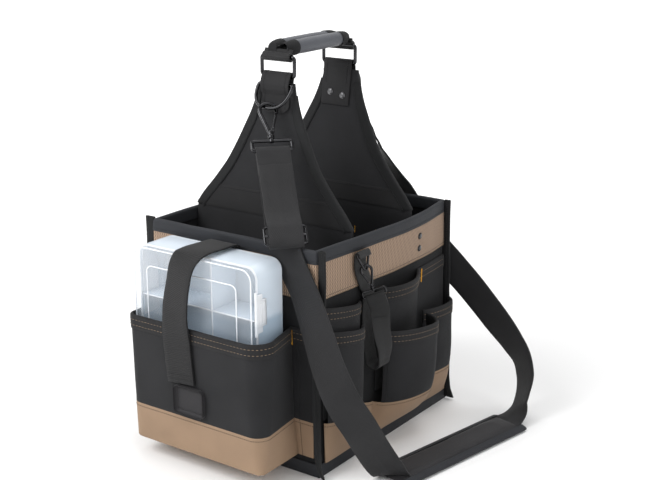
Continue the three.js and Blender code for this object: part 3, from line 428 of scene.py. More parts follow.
def sheet(name: str, surface: Surface, cells: tuple[int, int], size: Pair,
          closed: bool = False) -> Piece:
    """Lays a grid over a surface, with its cloth coordinates in millimetres.

    Args:
        name: the piece's name.
        surface: a point in millimetres for each share across and along.
        cells: how many cells lie across and along.
        size: the cloth's width and length in millimetres.
        closed: whether the two side edges meet and are joined.

    Returns:
        The new piece.
    """
    start_clean()
    bpy.ops.mesh.primitive_grid_add(x_subdivisions=cells[0], y_subdivisions=cells[1], size=1.0)
    piece = name_piece(bpy.context.object, name)
    for corner in piece.data.uv_layers.active.data:
        corner.uv = (corner.uv.x * size[0], corner.uv.y * size[1])
    for vertex in piece.data.vertices:
        vertex.co = surface(clamp(vertex.co.x + 0.5), clamp(vertex.co.y + 0.5)) * MM
    if closed:
        bpy.ops.object.mode_set(mode="EDIT")
        bpy.ops.mesh.select_all(action="SELECT")
        bpy.ops.mesh.remove_doubles(threshold=0.00002)
        bpy.ops.object.mode_set(mode="OBJECT")
    return piece


def normal_of(surface: Surface, across: float, along: float) -> Vector:
    """The outward direction of a surface at one place."""
    step = 0.006
    side = surface(clamp(across + step), along) - surface(clamp(across - step), along)
    up = surface(across, clamp(along + step)) - surface(across, clamp(along - step))
    return side.cross(up).normalized()


def flipped(surface: Surface) -> Surface:
    """The surface laid out from its other side, so that it faces the other way."""
    return lambda across, along: surface(1.0 - across, along)


def cloth(name: str, surface: Surface, cells: tuple[int, int], size: Pair, thickness: float,
          closed: bool = False, side: float = 1.0) -> Piece:
    """A cloth panel of one thickness.

    Args:
        name: the piece's name.
        surface: the panel's inner face.
        cells: how many cells lie across and along.
        size: the cloth's width and length in millimetres.
        thickness: the cloth's thickness in millimetres.
        closed: whether the two side edges are joined.
        side: 1 thickens outwards, 0 both ways and -1 inwards.

    Returns:
        The finished panel.
    """
    piece = sheet(name, surface, cells, size, closed)
    modify(piece, "SOLIDIFY", thickness=thickness * MM, offset=side, use_even_offset=False)
    soften(piece, min(0.35, thickness * 0.3), 50)
    smooth(piece, 50)
    return piece


def wire(name: str, path: Path, radius: float, closed: bool = False) -> Piece:
    """A round wire or cord edge along a path.

    Args:
        name: the piece's name.
        path: points in millimetres.
        radius: the wire's radius in millimetres.
        closed: whether the path meets its own start.

    Returns:
        The finished wire as a mesh.
    """
    start_clean()
    curve = bpy.data.curves.new(name, "CURVE")
    curve.dimensions = "3D"
    curve.bevel_depth = radius * MM
    curve.bevel_resolution = 3
    curve.use_fill_caps = not closed
    spline = curve.splines.new("POLY")
    spline.points.add(len(path) - 1)
    spline.use_cyclic_u = closed
    for knot, point in zip(spline.points, path):
        knot.co = (*(point * MM), 1.0)
    piece = bpy.data.objects.new(name, curve)
    bpy.context.collection.objects.link(piece)
    choose(piece)
    bpy.ops.object.convert(target="MESH")
    piece = name_piece(bpy.context.object, name)
    smooth(piece, 60)
    return piece


def join(name: str, pieces: Sequence[Piece]) -> Piece:
    """Joins several meshes into one piece."""
    choose(pieces[0])
    for piece in pieces:
        piece.select_set(True)
    bpy.ops.object.join()
    return name_piece(bpy.context.object, name)


def box(name: str, low: Vector, high: Vector) -> Piece:
    """A plain box between two corners in millimetres."""
    start_clean()
    bpy.ops.mesh.primitive_cube_add(size=1.0, location=(low + high) * 0.5 * MM)
    piece = name_piece(bpy.context.object, name)
    piece.scale = (high - low) * MM
    bpy.ops.object.transform_apply(location=True, rotation=True, scale=True)
    return piece


def round_all(offset: float, segments: int = 3) -> None:
    """Rounds every edge of the active piece by an offset in millimetres."""
    bpy.ops.object.mode_set(mode="EDIT")
    bpy.ops.mesh.select_all(action="SELECT")
    bpy.ops.mesh.bevel(offset=offset * MM, segments=segments, affect="EDGES")
    bpy.ops.object.mode_set(mode="OBJECT")


def pick(piece: Piece, kind: str, test: Callable[[object], bool]) -> None:
    """Enters edit mode with only some faces or edges selected.

    Args:
        piece: the active piece.
        kind: FACE or EDGE.
        test: whether a face or edge is selected.
    """
    bpy.ops.object.mode_set(mode="EDIT")
    bpy.ops.mesh.select_mode(type=kind)
    bpy.ops.mesh.select_all(action="DESELECT")
    bpy.ops.object.mode_set(mode="OBJECT")
    for part in piece.data.polygons if kind == "FACE" else piece.data.edges:
        part.select = test(part)
    bpy.ops.object.mode_set(mode="EDIT")


def hollow(piece: Piece, mouth: Vector, wall: float, depth: float) -> None:
    """Insets the face that looks towards a mouth by the wall and sinks it by the depth, in millimetres."""
    pick(piece, "FACE", lambda face: face.normal.dot(mouth) > 0.9)
    bpy.ops.mesh.inset(thickness=wall * MM)
    bpy.ops.mesh.extrude_region_move(TRANSFORM_OT_translate={"value": mouth * (-depth * MM)})
    bpy.ops.object.mode_set(mode="OBJECT")


def soften(piece: Piece, width: float, angle: float) -> None:
    """Rounds the edges that are sharper than an angle in degrees by a width in millimetres."""
    limit = math.radians(angle)
    modify(piece, "BEVEL", width=width * MM, segments=2, limit_method="ANGLE", angle_limit=limit)


def block(name: str, low: Vector, high: Vector, rounding: float, segments: int = 3) -> Piece:
    """A box between two corners in millimetres, with all its edges rounded."""
    piece = box(name, low, high)
    round_all(rounding, segments)
    smooth(piece, 40)
    return piece


def pin(name: str, foot: Vector, top: Vector, radius: float, rounding: float) -> Piece:
    """A round pin between two points in millimetres, with rounded rims."""
    start_clean()
    bpy.ops.mesh.primitive_cylinder_add(vertices=20, radius=radius * MM, depth=(top - foot).length * MM)
    piece = name_piece(bpy.context.object, name)
    round_all(rounding)
    turn = (top - foot).to_track_quat("Z", "Y").to_matrix().to_4x4()
    piece.data.transform(Matrix.Translation((foot + top) * 0.5 * MM) @ turn)
    smooth(piece, 40)
    return piece


def enter(piece: Piece, finish: Finish, *nodes: str, body: Body = Body.BAG) -> None:
    """Gives a piece its finish, its body and the solids that it stands for.

    Args:
        piece: the finished piece.
        finish: its surface finish.
        nodes: the names of the solids it replaces.
        body: the body it rides on.
    """
    piece.data.materials.clear()
    piece.data.materials.append(finish.material())
    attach(piece, body.value)
    if nodes:
        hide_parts(*nodes)
    LOG.info("%s: %d faces in %s", piece.name, len(piece.data.polygons), finish.name)


def rivet(name: str, seat: Vector, out: Vector, finish: Finish) -> None:
    """Sets one domed rivet with a rolled rim."""
    cap = pin(name, seat - out * 0.4, seat + out * 1.3, 3.1, 0.9)
    side = out.orthogonal().normalized()
    square = out.normalized().cross(side)
    angles = [2.0 * math.pi * step / 24 for step in range(24)]
    ring = [seat + out * 0.3 + (side * math.cos(angle) + square * math.sin(angle)) * 3.2 for angle in angles]
    enter(join(name, [cap, wire(f"{name}_rim", ring, 0.45, closed=True)]), finish)


@dataclass(frozen=True)
class Stitching:
    """A row of stitches: its thread, and their spacing, length, width and height in millimetres."""

    thread: Finish
    pitch: float = 4.2
    length: float = 2.5
    width: float = 0.58
    height: float = 0.34

    def sew(self, name: str, rows: Sequence[Row]) -> None:
        """Sews rows of stitches.

        Args:
            name: the piece's name.
            rows: for each row, points along it with the direction that the cloth faces there.
        """
        points: list[Vector] = []
        faces: list[tuple[int, ...]] = []
        for row in rows:
            for centre, along, face in self.spaced(row):
                self.stitch(points, faces, centre, along, face)
        mesh = bpy.data.meshes.new(name)
        mesh.from_pydata([point * MM for point in points], [], faces)
        piece = bpy.data.objects.new(name, mesh)
        bpy.context.collection.objects.link(piece)
        smooth(piece, 60)
        enter(piece, self.thread)

    def spaced(self, row: Row) -> Iterable[tuple[Vector, Vector, Vector]]:
        """Places along a row, one pitch apart, each with its direction and facing."""
        due = self.pitch * 0.5
        for (start, face), (end, _) in zip(row, row[1:]):
            span = (end - start).length
            while due < span:
                yield start.lerp(end, due / span), (end - start).normalized(), face
                due += self.pitch
            due -= span

    def stitch(self, points: list[Vector], faces: list[tuple[int, ...]], centre: Vector, along: Vector,
               face: Vector) -> None:
        """Adds one plump stitch to a list of points and faces."""
        side = face.cross(along).normalized()
        first = len(points)
        for share, swell in ((-0.5, 0.25), (-0.28, 1.0), (0.28, 1.0), (0.5, 0.25)):
            middle = centre + along * (share * self.length)
            lift = face * self.height * swell
            half = side * (0.5 * self.width * swell)
            points.extend((middle - half, middle + lift, middle + half, middle - face * 0.15))
        for ring in range(3):
            for corner in range(4):
                after = (corner + 1) % 4
                low, high = first + ring * 4, first + ring * 4 + 4
                faces.append((low + corner, low + after, high + after, high + corner))
        faces.append((first + 3, first + 2, first + 1, first))
        faces.append((first + 12, first + 13, first + 14, first + 15))


HEM_STITCH = Stitching(TAN_THREAD)
PAD_STITCH = Stitching(GREY_THREAD)
BAR_TACK = Stitching(AMBER_THREAD, pitch=1.5, length=1.9, width=0.8, height=0.5)
FINE_STITCH = Stitching(DARK_THREAD, pitch=2.6, length=1.9, width=0.6, height=0.35)


def fold_over(across: float, nose: float) -> tuple[float, float, float]:
    """Tape folded over an edge.

    Args:
        across: the share across the tape.
        nose: the share of each half that goes round the edge.

    Returns:
        The place from -1 to 1, the angle round the edge and the share along the flat leg.
    """
    turn = (across - 0.5) * 2.0
    return turn, clamp(abs(turn) / nose) * math.pi / 2, clamp((abs(turn) - nose) / (1.0 - nose))


def sewn(surface: Surface, places: Iterable[Pair], height: float) -> Row:
    """Points above places on a surface, each with the direction that the cloth faces."""
    row = []
    for across, along in places:
        face = normal_of(surface, across, along)
        row.append((surface(across, along) + face * height, face))
    return row


def row_on(surface: Surface, along: float, height: float, steps: int, low: float = 0.0,
           high: float = 1.0) -> Row:
    """A seam line across a surface.

    Args:
        surface: the cloth that is sewn.
        along: the share along the cloth where the line runs.
        height: how far above the surface it lies, in millimetres.
        steps: how many points it has.
        low: the share across where it starts.
        high: the share across where it ends.

    Returns:
        Points with the direction that the cloth faces.
    """
    return sewn(surface, [(mix(low, high, step / steps), along) for step in range(steps + 1)], height)


def row_up(surface: Surface, across: float, height: float, steps: int, low: float = 0.0,
           high: float = 1.0) -> Row:
    """A seam line that runs along a surface, at a share across it."""
    return sewn(surface, [(across, mix(low, high, step / steps)) for step in range(steps + 1)], height)


def pipe(name: str, surface: Surface, height: float, radius: float, steps: int) -> None:
    """Pipes the upper edge of a tan band."""
    edge = [point for point, _ in row_on(surface, 1.0, height, steps)]
    enter(wire(f"{name}_piping", edge, radius), PIPING)


def tack(name: str, line: Row, shift: Vector) -> None:
    """Sews an amber bar tack as two rows of thread side by side."""
    BAR_TACK.sew(name, [line, [(point + shift, face) for point, face in line]])


@dataclass(frozen=True)
class Hem:
    """A folded pocket hem with its two seam lines."""

    depth: float = 13.0
    cover: float = 1.75
    thickness: float = 0.7
    seams: Pair = (3.6, 9.6)

    def section(self) -> list[Pair]:
        """Height above the cloth's edge and stand-off, from the outer leg over the fold to the inner one."""
        top, cover = self.cover * 0.5, self.cover
        return [(-self.depth, cover), (-self.depth * 0.5, cover + 0.15), (-1.2, cover + 0.1), (0.1, cover),
                (0.75, top + 0.4), (0.9, top - 0.1), (0.6, 0.1), (0.0, -0.2), (-1.5, -0.3),
                (-self.depth * 0.8, -0.2)]

    def fold(self, surface: Surface, length: float) -> Surface:
        """The hem's own surface over the edge of a pocket.

        Args:
            surface: the pocket's inner face.
            length: the pocket's height in millimetres.

        Returns:
            A surface that runs over the pocket's edge.
        """
        rows = self.section()

        def folded(across: float, along: float) -> Vector:
            """The hem at one place."""
            rise, stand = down_rows(rows, along)
            at = clamp(1.0 + min(0.0, rise) / length)
            point = surface(across, at) + normal_of(surface, across, at) * stand
            return point + vec(0, 0, max(0.0, rise))

        return folded

    def build(self, name: str, surface: Surface, width: float, length: float, cells: int) -> None:
        """Folds and sews the hem of one pocket.

        Args:
            name: the pocket's name.
            surface: the pocket's inner face.
            width: the pocket's width along the cloth.
            length: the pocket's height in millimetres.
            cells: how many cells lie across.
        """
        folded = self.fold(surface, length)
        enter(cloth(f"{name}_hem", folded, (cells, 18), (width, 2.2 * self.depth), self.thickness), HEM)
        rows = [row_on(surface, 1.0 - down / length, self.cover + self.thickness + 0.1, cells, 0.01, 0.99)
                for down in self.seams]
        HEM_STITCH.sew(f"{name}_hem_stitches", rows)


@dataclass
class BagForm:
    """The tapered box of the bag, with one bowed side, in millimetres."""

    height: float = 237.0
    width_base: float = 110.0
    width_top: float = 106.0
    depth_base: float = 124.0
    depth_top: float = 121.0
    bow_depth: float = 10.5
    bow_skew: float = 1.4
    bow_rise: float = 1.5
    wall: float = 2.6

    def half_width(self, z: float) -> float:
        """Half the width at a height."""
        return mix(self.width_base, self.width_top, z / self.height)

    def half_depth(self, z: float) -> float:
        """Half the depth at a height."""
        return mix(self.depth_base, self.depth_top, z / self.height)

    def bow(self, y: float, z: float) -> float:
        """How far the right side bows out at a place."""
        along = clamp((y + self.depth_top) / (2.0 * self.depth_top))
        swell = math.sin(math.pi * along ** self.bow_skew)
        return self.bow_depth * swell * clamp(z / self.height) ** self.bow_rise

    def side(self, y: float, z: float, off: float) -> Vector:
        """A point a distance outside the right wall."""
        return vec(self.half_width(z) + self.bow(y, z) + off, y, z)

    def outline(self, z: float, off: float, share: float) -> Vector:
        """A point on the bag's outline at a height, from the front left corner round by the right side."""
        x, y = self.half_width(z) + off, self.half_depth(z) + off
        side, part = leg_at((2 * x, 2 * y, 2 * x, 2 * y), share % 1.0)
        if side == 0:
            return vec(mix(-x, x, part), -y, z)
        if side == 1:
            along = mix(-y, y, part)
            return vec(x + self.bow(along, z), along, z)
        if side == 2:
            return vec(mix(x, -x, part), y, z)
        return vec(-x, mix(y, -y, part), z)


FORM = BagForm()


@dataclass
class BagShell:
    """Walls, bands, bound corners and base of the bag."""

    foot: float = 3.3
    band_lift: float = 0.5
    yoke: Pair = (187.0, 225.5)
    binding_foot: float = 225.0
    boot: Pair = (14.3, 52.0)
    fin_rows: Table = (
        (3.3, 14.0, 14.0, 40.0), (14.0, 11.0, 10.0, 70.0), (30.0, 10.0, 9.0, 90.0), (118.0, 10.0, 9.0, 90.0),
        (135.0, 9.7, 8.5, 65.0), (155.0, 9.5, 9.5, 25.0), (186.0, 9.5, 9.5, 0.0), (239.0, 10.5, 10.5, 0.0))
    fin_wide: float = 4.0
    rim: float = 14.0
    floor: float = 3.0
    around: int = 232

    def build(self) -> None:
        """Builds the shell from the base up."""
        self.build_base()
        self.build_walls()
        self.build_yoke()
        self.build_binding()
        self.build_corners()
        self.build_boots()

    def build_base(self) -> None:
        """Makes the base a shallow tray by insetting and sinking the top of a block."""
        x, y = FORM.width_base + 2.0, FORM.depth_base + 2.0
        piece = box("base", vec(-x, -y, 0), vec(x, y, self.rim))
        hollow(piece, vec(0, 0, 1), 1.6, self.rim - self.floor)
        soften(piece, 0.6, 40)
        bpy.ops.object.mode_set(mode="EDIT")
        bpy.ops.mesh.select_all(action="SELECT")
        bpy.ops.uv.cube_project(cube_size=1.0)
        bpy.ops.object.mode_set(mode="OBJECT")
        for corner in piece.data.uv_layers.active.data:
            corner.uv = corner.uv * 1000.0
        smooth(piece, 40)
        enter(piece, TAPE, "base_tray")

    def build_walls(self) -> None:
        """Lays the four walls as gently uneven cloth panels."""
        wall, inset = FORM.wall, FORM.wall + 0.9
        top = FORM.height - 0.6

        def up(along: float) -> float:
            """A height on the wall."""
            return mix(self.foot, top, along)

        def uneven(point: Vector, out: Vector) -> Vector:
            """The point with a slight swell, nothing at the hems."""
            rise = clamp((point.z - 20) / 60) * clamp((200 - point.z) / 50)
            return point + out * (ripple(point, 70, 0.7) - 0.2) * rise * 0.5

        def end_wall(sign: int) -> Surface:
            """The inner face of the front wall, -1, or the rear wall, 1."""

            def face(across: float, along: float) -> Vector:
                """The wall at one place."""
                z = up(along)
                x = mix(sign, -sign, across) * FORM.half_width(z)
                return uneven(vec(x, sign * (FORM.half_depth(z) - wall), z), vec(0, -sign, 0))

            return face

        def left(across: float, along: float) -> Vector:
            """The left wall's inner face."""
            z = up(along)
            reach = FORM.half_depth(z) - inset
            return uneven(vec(-FORM.half_width(z) + wall, mix(reach, -reach, across), z), vec(1, 0, 0))

        def right(across: float, along: float) -> Vector:
            """The right wall's inner face."""
            z = up(along)
            reach = FORM.half_depth(z) - inset
            return FORM.side(mix(-reach, reach, across), z, -wall)

        for name, surface, width in (("wall_front", end_wall(-1), 216), ("wall_rear", end_wall(1), 216),
                                     ("wall_left", left, 238), ("wall_right", right, 240)):
            enter(cloth(f"{name}_cloth", surface, (44, 40), (width, top - self.foot), wall), LINING, name)

    def build_yoke(self) -> None:
        """Wraps the mesh band round the top and pipes its lower edge."""
        low, high = self.yoke
        girth = 4 * (FORM.width_top + FORM.depth_top)

        def band(across: float, along: float) -> Vector:
            """The band's inner face."""
            z = mix(low, high, along)
            point = FORM.outline(z, self.band_lift, across)
            return point + vec(0, 0, ripple(vec(point.x, point.y, 0), 45, 0.8) * (1.0 - along))

        piece = cloth("yoke_mesh", band, (self.around, 8), (girth, high - low), 0.9, closed=True)
        enter(piece, TAN_MESH, "yoke_band")
        edge = [band(step / 400, 0.0) + vec(0, 0, 0.2) for step in range(400)]
        outer = [point + vec(point.x, point.y, 0).normalized() * 0.9 for point in edge]
        enter(wire("yoke_edge", outer, 0.5, closed=True), TAN_THREAD)
        FINE_STITCH.sew("yoke_stitches", [row_on(band, 0.07, 1.0, 400)])
        for z in (213.6, 199.9):
            rivet(f"yoke_rivet_{int(z)}", FORM.side(55.0, z, 1.3), vec(1, 0.02, 0), NICKEL)

    def build_binding(self) -> None:
        """Folds the binding tape over the top edge of the walls."""
        lift, inner = self.band_lift + 0.5, -FORM.wall - 0.3
        top = FORM.height - 0.4
        rows = [(lift, self.binding_foot), (lift + 0.15, 230), (lift, 235), (lift - 0.3, top),
                (lift - 1.2, top + 1.1), (-1.4, top + 1.4), (inner + 0.9, top + 1.1), (inner, top),
                (inner - 0.1, 235), (inner - 0.1, 229), (inner, self.binding_foot)]
        girth = 4 * (FORM.width_top + FORM.depth_top)

        def folded(across: float, along: float) -> Vector:
            """The tape's inner face."""
            off, z = down_rows(rows, along)
            point = FORM.outline(min(z, FORM.height), off, across)
            wave = ripple(vec(point.x, point.y, 7), 38, 0.7)
            return vec(point.x, point.y, z + wave)

        piece = cloth("top_binding_tape", folded, (self.around, 20), (30, girth), 0.8, closed=True)
        for corner in piece.data.uv_layers.active.data:
            corner.uv = (corner.uv.y * 30 / girth, corner.uv.x * girth / 30)
        enter(piece, TAPE, "top_binding")
        FINE_STITCH.sew("top_binding_stitches", [row_on(folded, 0.06, 0.9, 500)])

    def build_corners(self) -> None:
        """Folds a bound seam along each upright corner."""
        for end, sign_y in (("front", -1), ("rear", 1)):
            for hand, sign_x in (("left", -1), ("right", 1)):
                surface = self.corner_tape(sign_x, sign_y)
                piece = cloth(f"corner_{end}_{hand}_tape", surface, (18, 70), (30, 236), 0.8, side=-1.0)
                enter(piece, EDGE_TAPE, f"corner_binding_{end}_{hand}")
                rows = [row_up(surface, across, 0.05, 90) for across in (0.16, 0.84)]
                FINE_STITCH.sew(f"corner_{end}_{hand}_stitches", rows)

    def fin(self, z: float, turns: bool) -> Pair:
        """How far a corner seam reaches at a height and how far it is turned forwards, in radians."""
        _, turned, straight, turn = at_key(self.fin_rows, z)
        return (turned, math.radians(turn)) if turns else (straight, 0.0)

    def corner_tape(self, sign_x: int, sign_y: int) -> Surface:
        """The outside of the tape folded round one corner seam."""
        turns = sign_x > 0 > sign_y
        section = [(0.0, 0.0), (0.35, -0.25), (0.7, -0.1), (0.9, 0.2), (0.97, 0.8), (1.0, 1.6), (0.97, 2.4),
                   (0.9, 3.0), (0.7, 3.3), (0.35, 3.45), (0.0, 3.2)]
        if sign_x * sign_y > 0:
            section = section[::-1]

        def folded(across: float, along: float) -> Vector:
            """The tape at one place."""
            z = mix(self.foot, FORM.height + 2.0, along)
            out, inward = down_rows(section, across)
            root = 0.4 + 2.0 * clamp((z - 178) / 8) + 2.0 * clamp((17 - z) / 3)
            reach, turn = self.fin(z, turns)
            wave = ripple(vec(sign_x * 9, sign_y * 5, z), 34, 0.9)
            sway = ripple(vec(sign_y * 4, z, sign_x * 6), 46, 0.8) * out
            if sign_x < 0 and sign_y < 0:
                reach += self.fin_wide * clamp((z - 155) / 31)
            far, inward = mix(root, reach + wave, out), inward - sway + 0.2
            ahead, aside = math.cos(turn), math.sin(turn)
            return vec(sign_x * (FORM.half_width(z) + far * ahead + inward * aside),
                       sign_y * (FORM.half_depth(z) + far * aside - inward * ahead), z)

        return folded

    def build_boots(self) -> None:
        """Lays the plain tan bands on the left and rear walls, with piping on top."""
        low, high = self.boot

        def left(across: float, along: float) -> Vector:
            """The left band's inner face."""
            z = mix(low, high, along)
            return vec(-FORM.half_width(z) - 0.3, mix(114, -114, across), z)

        def rear(across: float, along: float) -> Vector:
            """The rear band's inner face."""
            z = mix(low, high, along)
            return vec(mix(103, -103, across), FORM.half_depth(z) + 0.3, z)

        for name, surface, width in (("plain_boot_left", left, 228), ("plain_boot_rear", rear, 206)):
            enter(cloth(f"{name}_cloth", surface, (40, 8), (width, high - low), 1.2), TAN, name)
            pipe(name, surface, 0.9, 0.5, 40)


@dataclass(frozen=True)
class ToolPocket:
    """One small pocket: its place along the wall, hem, bulge, peak, and how its sides rise and fall."""

    name: str
    start: float
    stop: float
    hem: float
    bulge: float
    peak: float
    taper: float
    end: float | None = None
    drop: float = 0.0
    rise: float = 0.6

    def hem_at(self, y: float) -> float:
        """The height of the hem at a place along the wall."""
        return self.hem - self.drop * (y - self.start) / (self.stop - self.start)

    def billow(self, y: float) -> float:
        """How full the pocket is at a place along the wall, from 0 to 1."""
        along = (y - self.start) / (self.stop - self.start)
        if not 0.0 < along < 1.0:
            return 0.0
        climb = along / self.peak if along < self.peak else (1.0 - along) / (1.0 - self.peak)
        return (1.0 - (1.0 - climb) ** 2) ** (self.rise if along < self.peak else self.taper)


@dataclass
class SidePockets:
    """The two rows of tool pockets on the right wall and the tan boot below them."""

    cloth_thickness: float = 1.6
    boot_foot: float = 14.3
    boot_tops: Pair = (57.5, 51.0)
    upper_foot: float = 60.0
    stand_off: float = 2.5
    seam: float = 2.2
    uppers: tuple[ToolPocket, ...] = (
        ToolPocket("upper_pocket_near", -116.5, -54.0, 178.0, 10.0, 0.6, 0.9, drop=9.0),
        ToolPocket("upper_pocket_rear", -24.0, 56.0, 175.0, 17.0, 0.46, 1.2, end=117.0),
    )
    lowers: tuple[ToolPocket, ...] = (
        ToolPocket("lower_pocket_near", -117.0, -53.0, 154.0, 14.0, 0.6, 0.9, drop=10.5),
        ToolPocket("lower_pocket_middle", -30.0, 58.0, 131.0, 36.0, 0.68, 0.6, drop=5.0, rise=0.45),
        ToolPocket("lower_pocket_rear", 58.0, 118.0, 127.0, 16.0, 0.7, 0.6),
    )
    hem: Hem = field(default_factory=Hem)

    def build(self) -> None:
        """Builds the upper row, the lower row and the boot."""
        for pocket in self.uppers:
            self.build_upper(pocket)
        for pocket in self.lowers:
            self.build_lower(pocket)
        self.build_boot()
        self.build_tacks()

    def build_upper(self, pocket: ToolPocket) -> None:
        """Lays one upper pocket with its hem."""
        end = pocket.end if pocket.end is not None else pocket.stop

        def face(across: float, along: float) -> Vector:
            """The pocket's inner face."""
            y = mix(pocket.start, end, across)
            z = mix(self.upper_foot, pocket.hem_at(y), along)
            full = pocket.bulge * pocket.billow(y) * along ** 1.2
            point = FORM.side(y, z, 0.3 + full)
            return point + vec(abs(ripple(point, 30, 0.9)) * along * (1.0 - along) * 2.0, 0, 0)

        self.lay(pocket.name, face, (end - pocket.start) * 1.15, pocket.hem - self.upper_foot, 24)

    def lay(self, name: str, face: Surface, width: float, length: float, rows: int) -> None:
        """Lays the black cloth of one pocket over its inner face, with rows of cells, and folds its hem."""
        enter(cloth(f"{name}_cloth", face, (48, rows), (width, length), self.cloth_thickness), CANVAS, name)
        self.hem.build(name, face, width, length, 64)

    def boot_top(self, y: float) -> float:
        """The height of the boot's top edge at a place along the wall."""
        share = clamp((y + 60.0) / 30.0)
        return mix(*self.boot_tops, share * share * (3.0 - 2.0 * share))

    def lower_point(self, pocket: ToolPocket, y: float, z: float) -> Vector:
        """A point on the inner face of a lower pocket."""
        hem = pocket.hem_at(y)
        fill = 1.0 - (1.0 - (z - self.boot_foot) / (hem - self.boot_foot)) ** 5
        point = FORM.side(y, z, self.stand_off + pocket.bulge * pocket.billow(y) * fill)
        sag = ripple(point, 34, 1.2) * pocket.billow(y) * clamp((hem - z) / 40)
        return point + vec(sag, 0, 0)

    def build_lower(self, pocket: ToolPocket) -> None:
        """Lays the black part of one lower pocket with its hem."""
        low, high = pocket.start + self.seam, pocket.stop - self.seam

        def face(across: float, along: float) -> Vector:
            """The pocket's inner face."""
            y = mix(low, high, across)
            return self.lower_point(pocket, y, mix(self.boot_top(y) + 0.3, pocket.hem_at(y), along))

        self.lay(pocket.name, face, (high - low) * 1.4, pocket.hem - self.boot_top(low), 26)
        edges = [row_up(face, across, self.cloth_thickness + 0.1, 45, 0.0, 0.9) for across in (0.03, 0.97)]
        FINE_STITCH.sew(f"{pocket.name}_side_stitches", edges)

    def build_boot(self) -> None:
        """Lays the tan boot, its piped top edge and its seam."""
        starts = [self.lowers[0].start, self.lowers[0].stop, self.lowers[1].stop]

        def face(across: float, along: float) -> Vector:
            """The boot's inner face across all three lower pockets."""
            place = across * len(self.lowers)
            index = min(len(self.lowers) - 1, int(place))
            pocket = self.lowers[index]
            y = mix(starts[index], pocket.stop, place - index)
            return self.lower_point(pocket, y, mix(self.boot_foot, self.boot_top(y), along))

        piece = cloth("side_boot_cloth", face, (96, 12), (330, self.boot_tops[0] - self.boot_foot), 1.6)
        enter(piece, TAN, "side_boot")
        pipe("side_boot", face, 1.3, 0.45, 160)
        FINE_STITCH.sew("side_boot_stitches", [row_on(face, 0.93, 1.7, 160)])

    def build_tacks(self) -> None:
        """Sews the amber bar tacks that end the upper pocket's seams."""
        out = vec(1, 0, 0)
        down = [(FORM.side(56.8, z, 4.6), out) for z in (176.5, 169, 161.5)]
        tack("upper_pocket_tack", down, vec(0, 0.9, -0.7))
        line = [(FORM.side(56.8, mix(160, 128, step / 12), 2.1), out) for step in range(13)]
        FINE_STITCH.sew("upper_pocket_seam", [line])


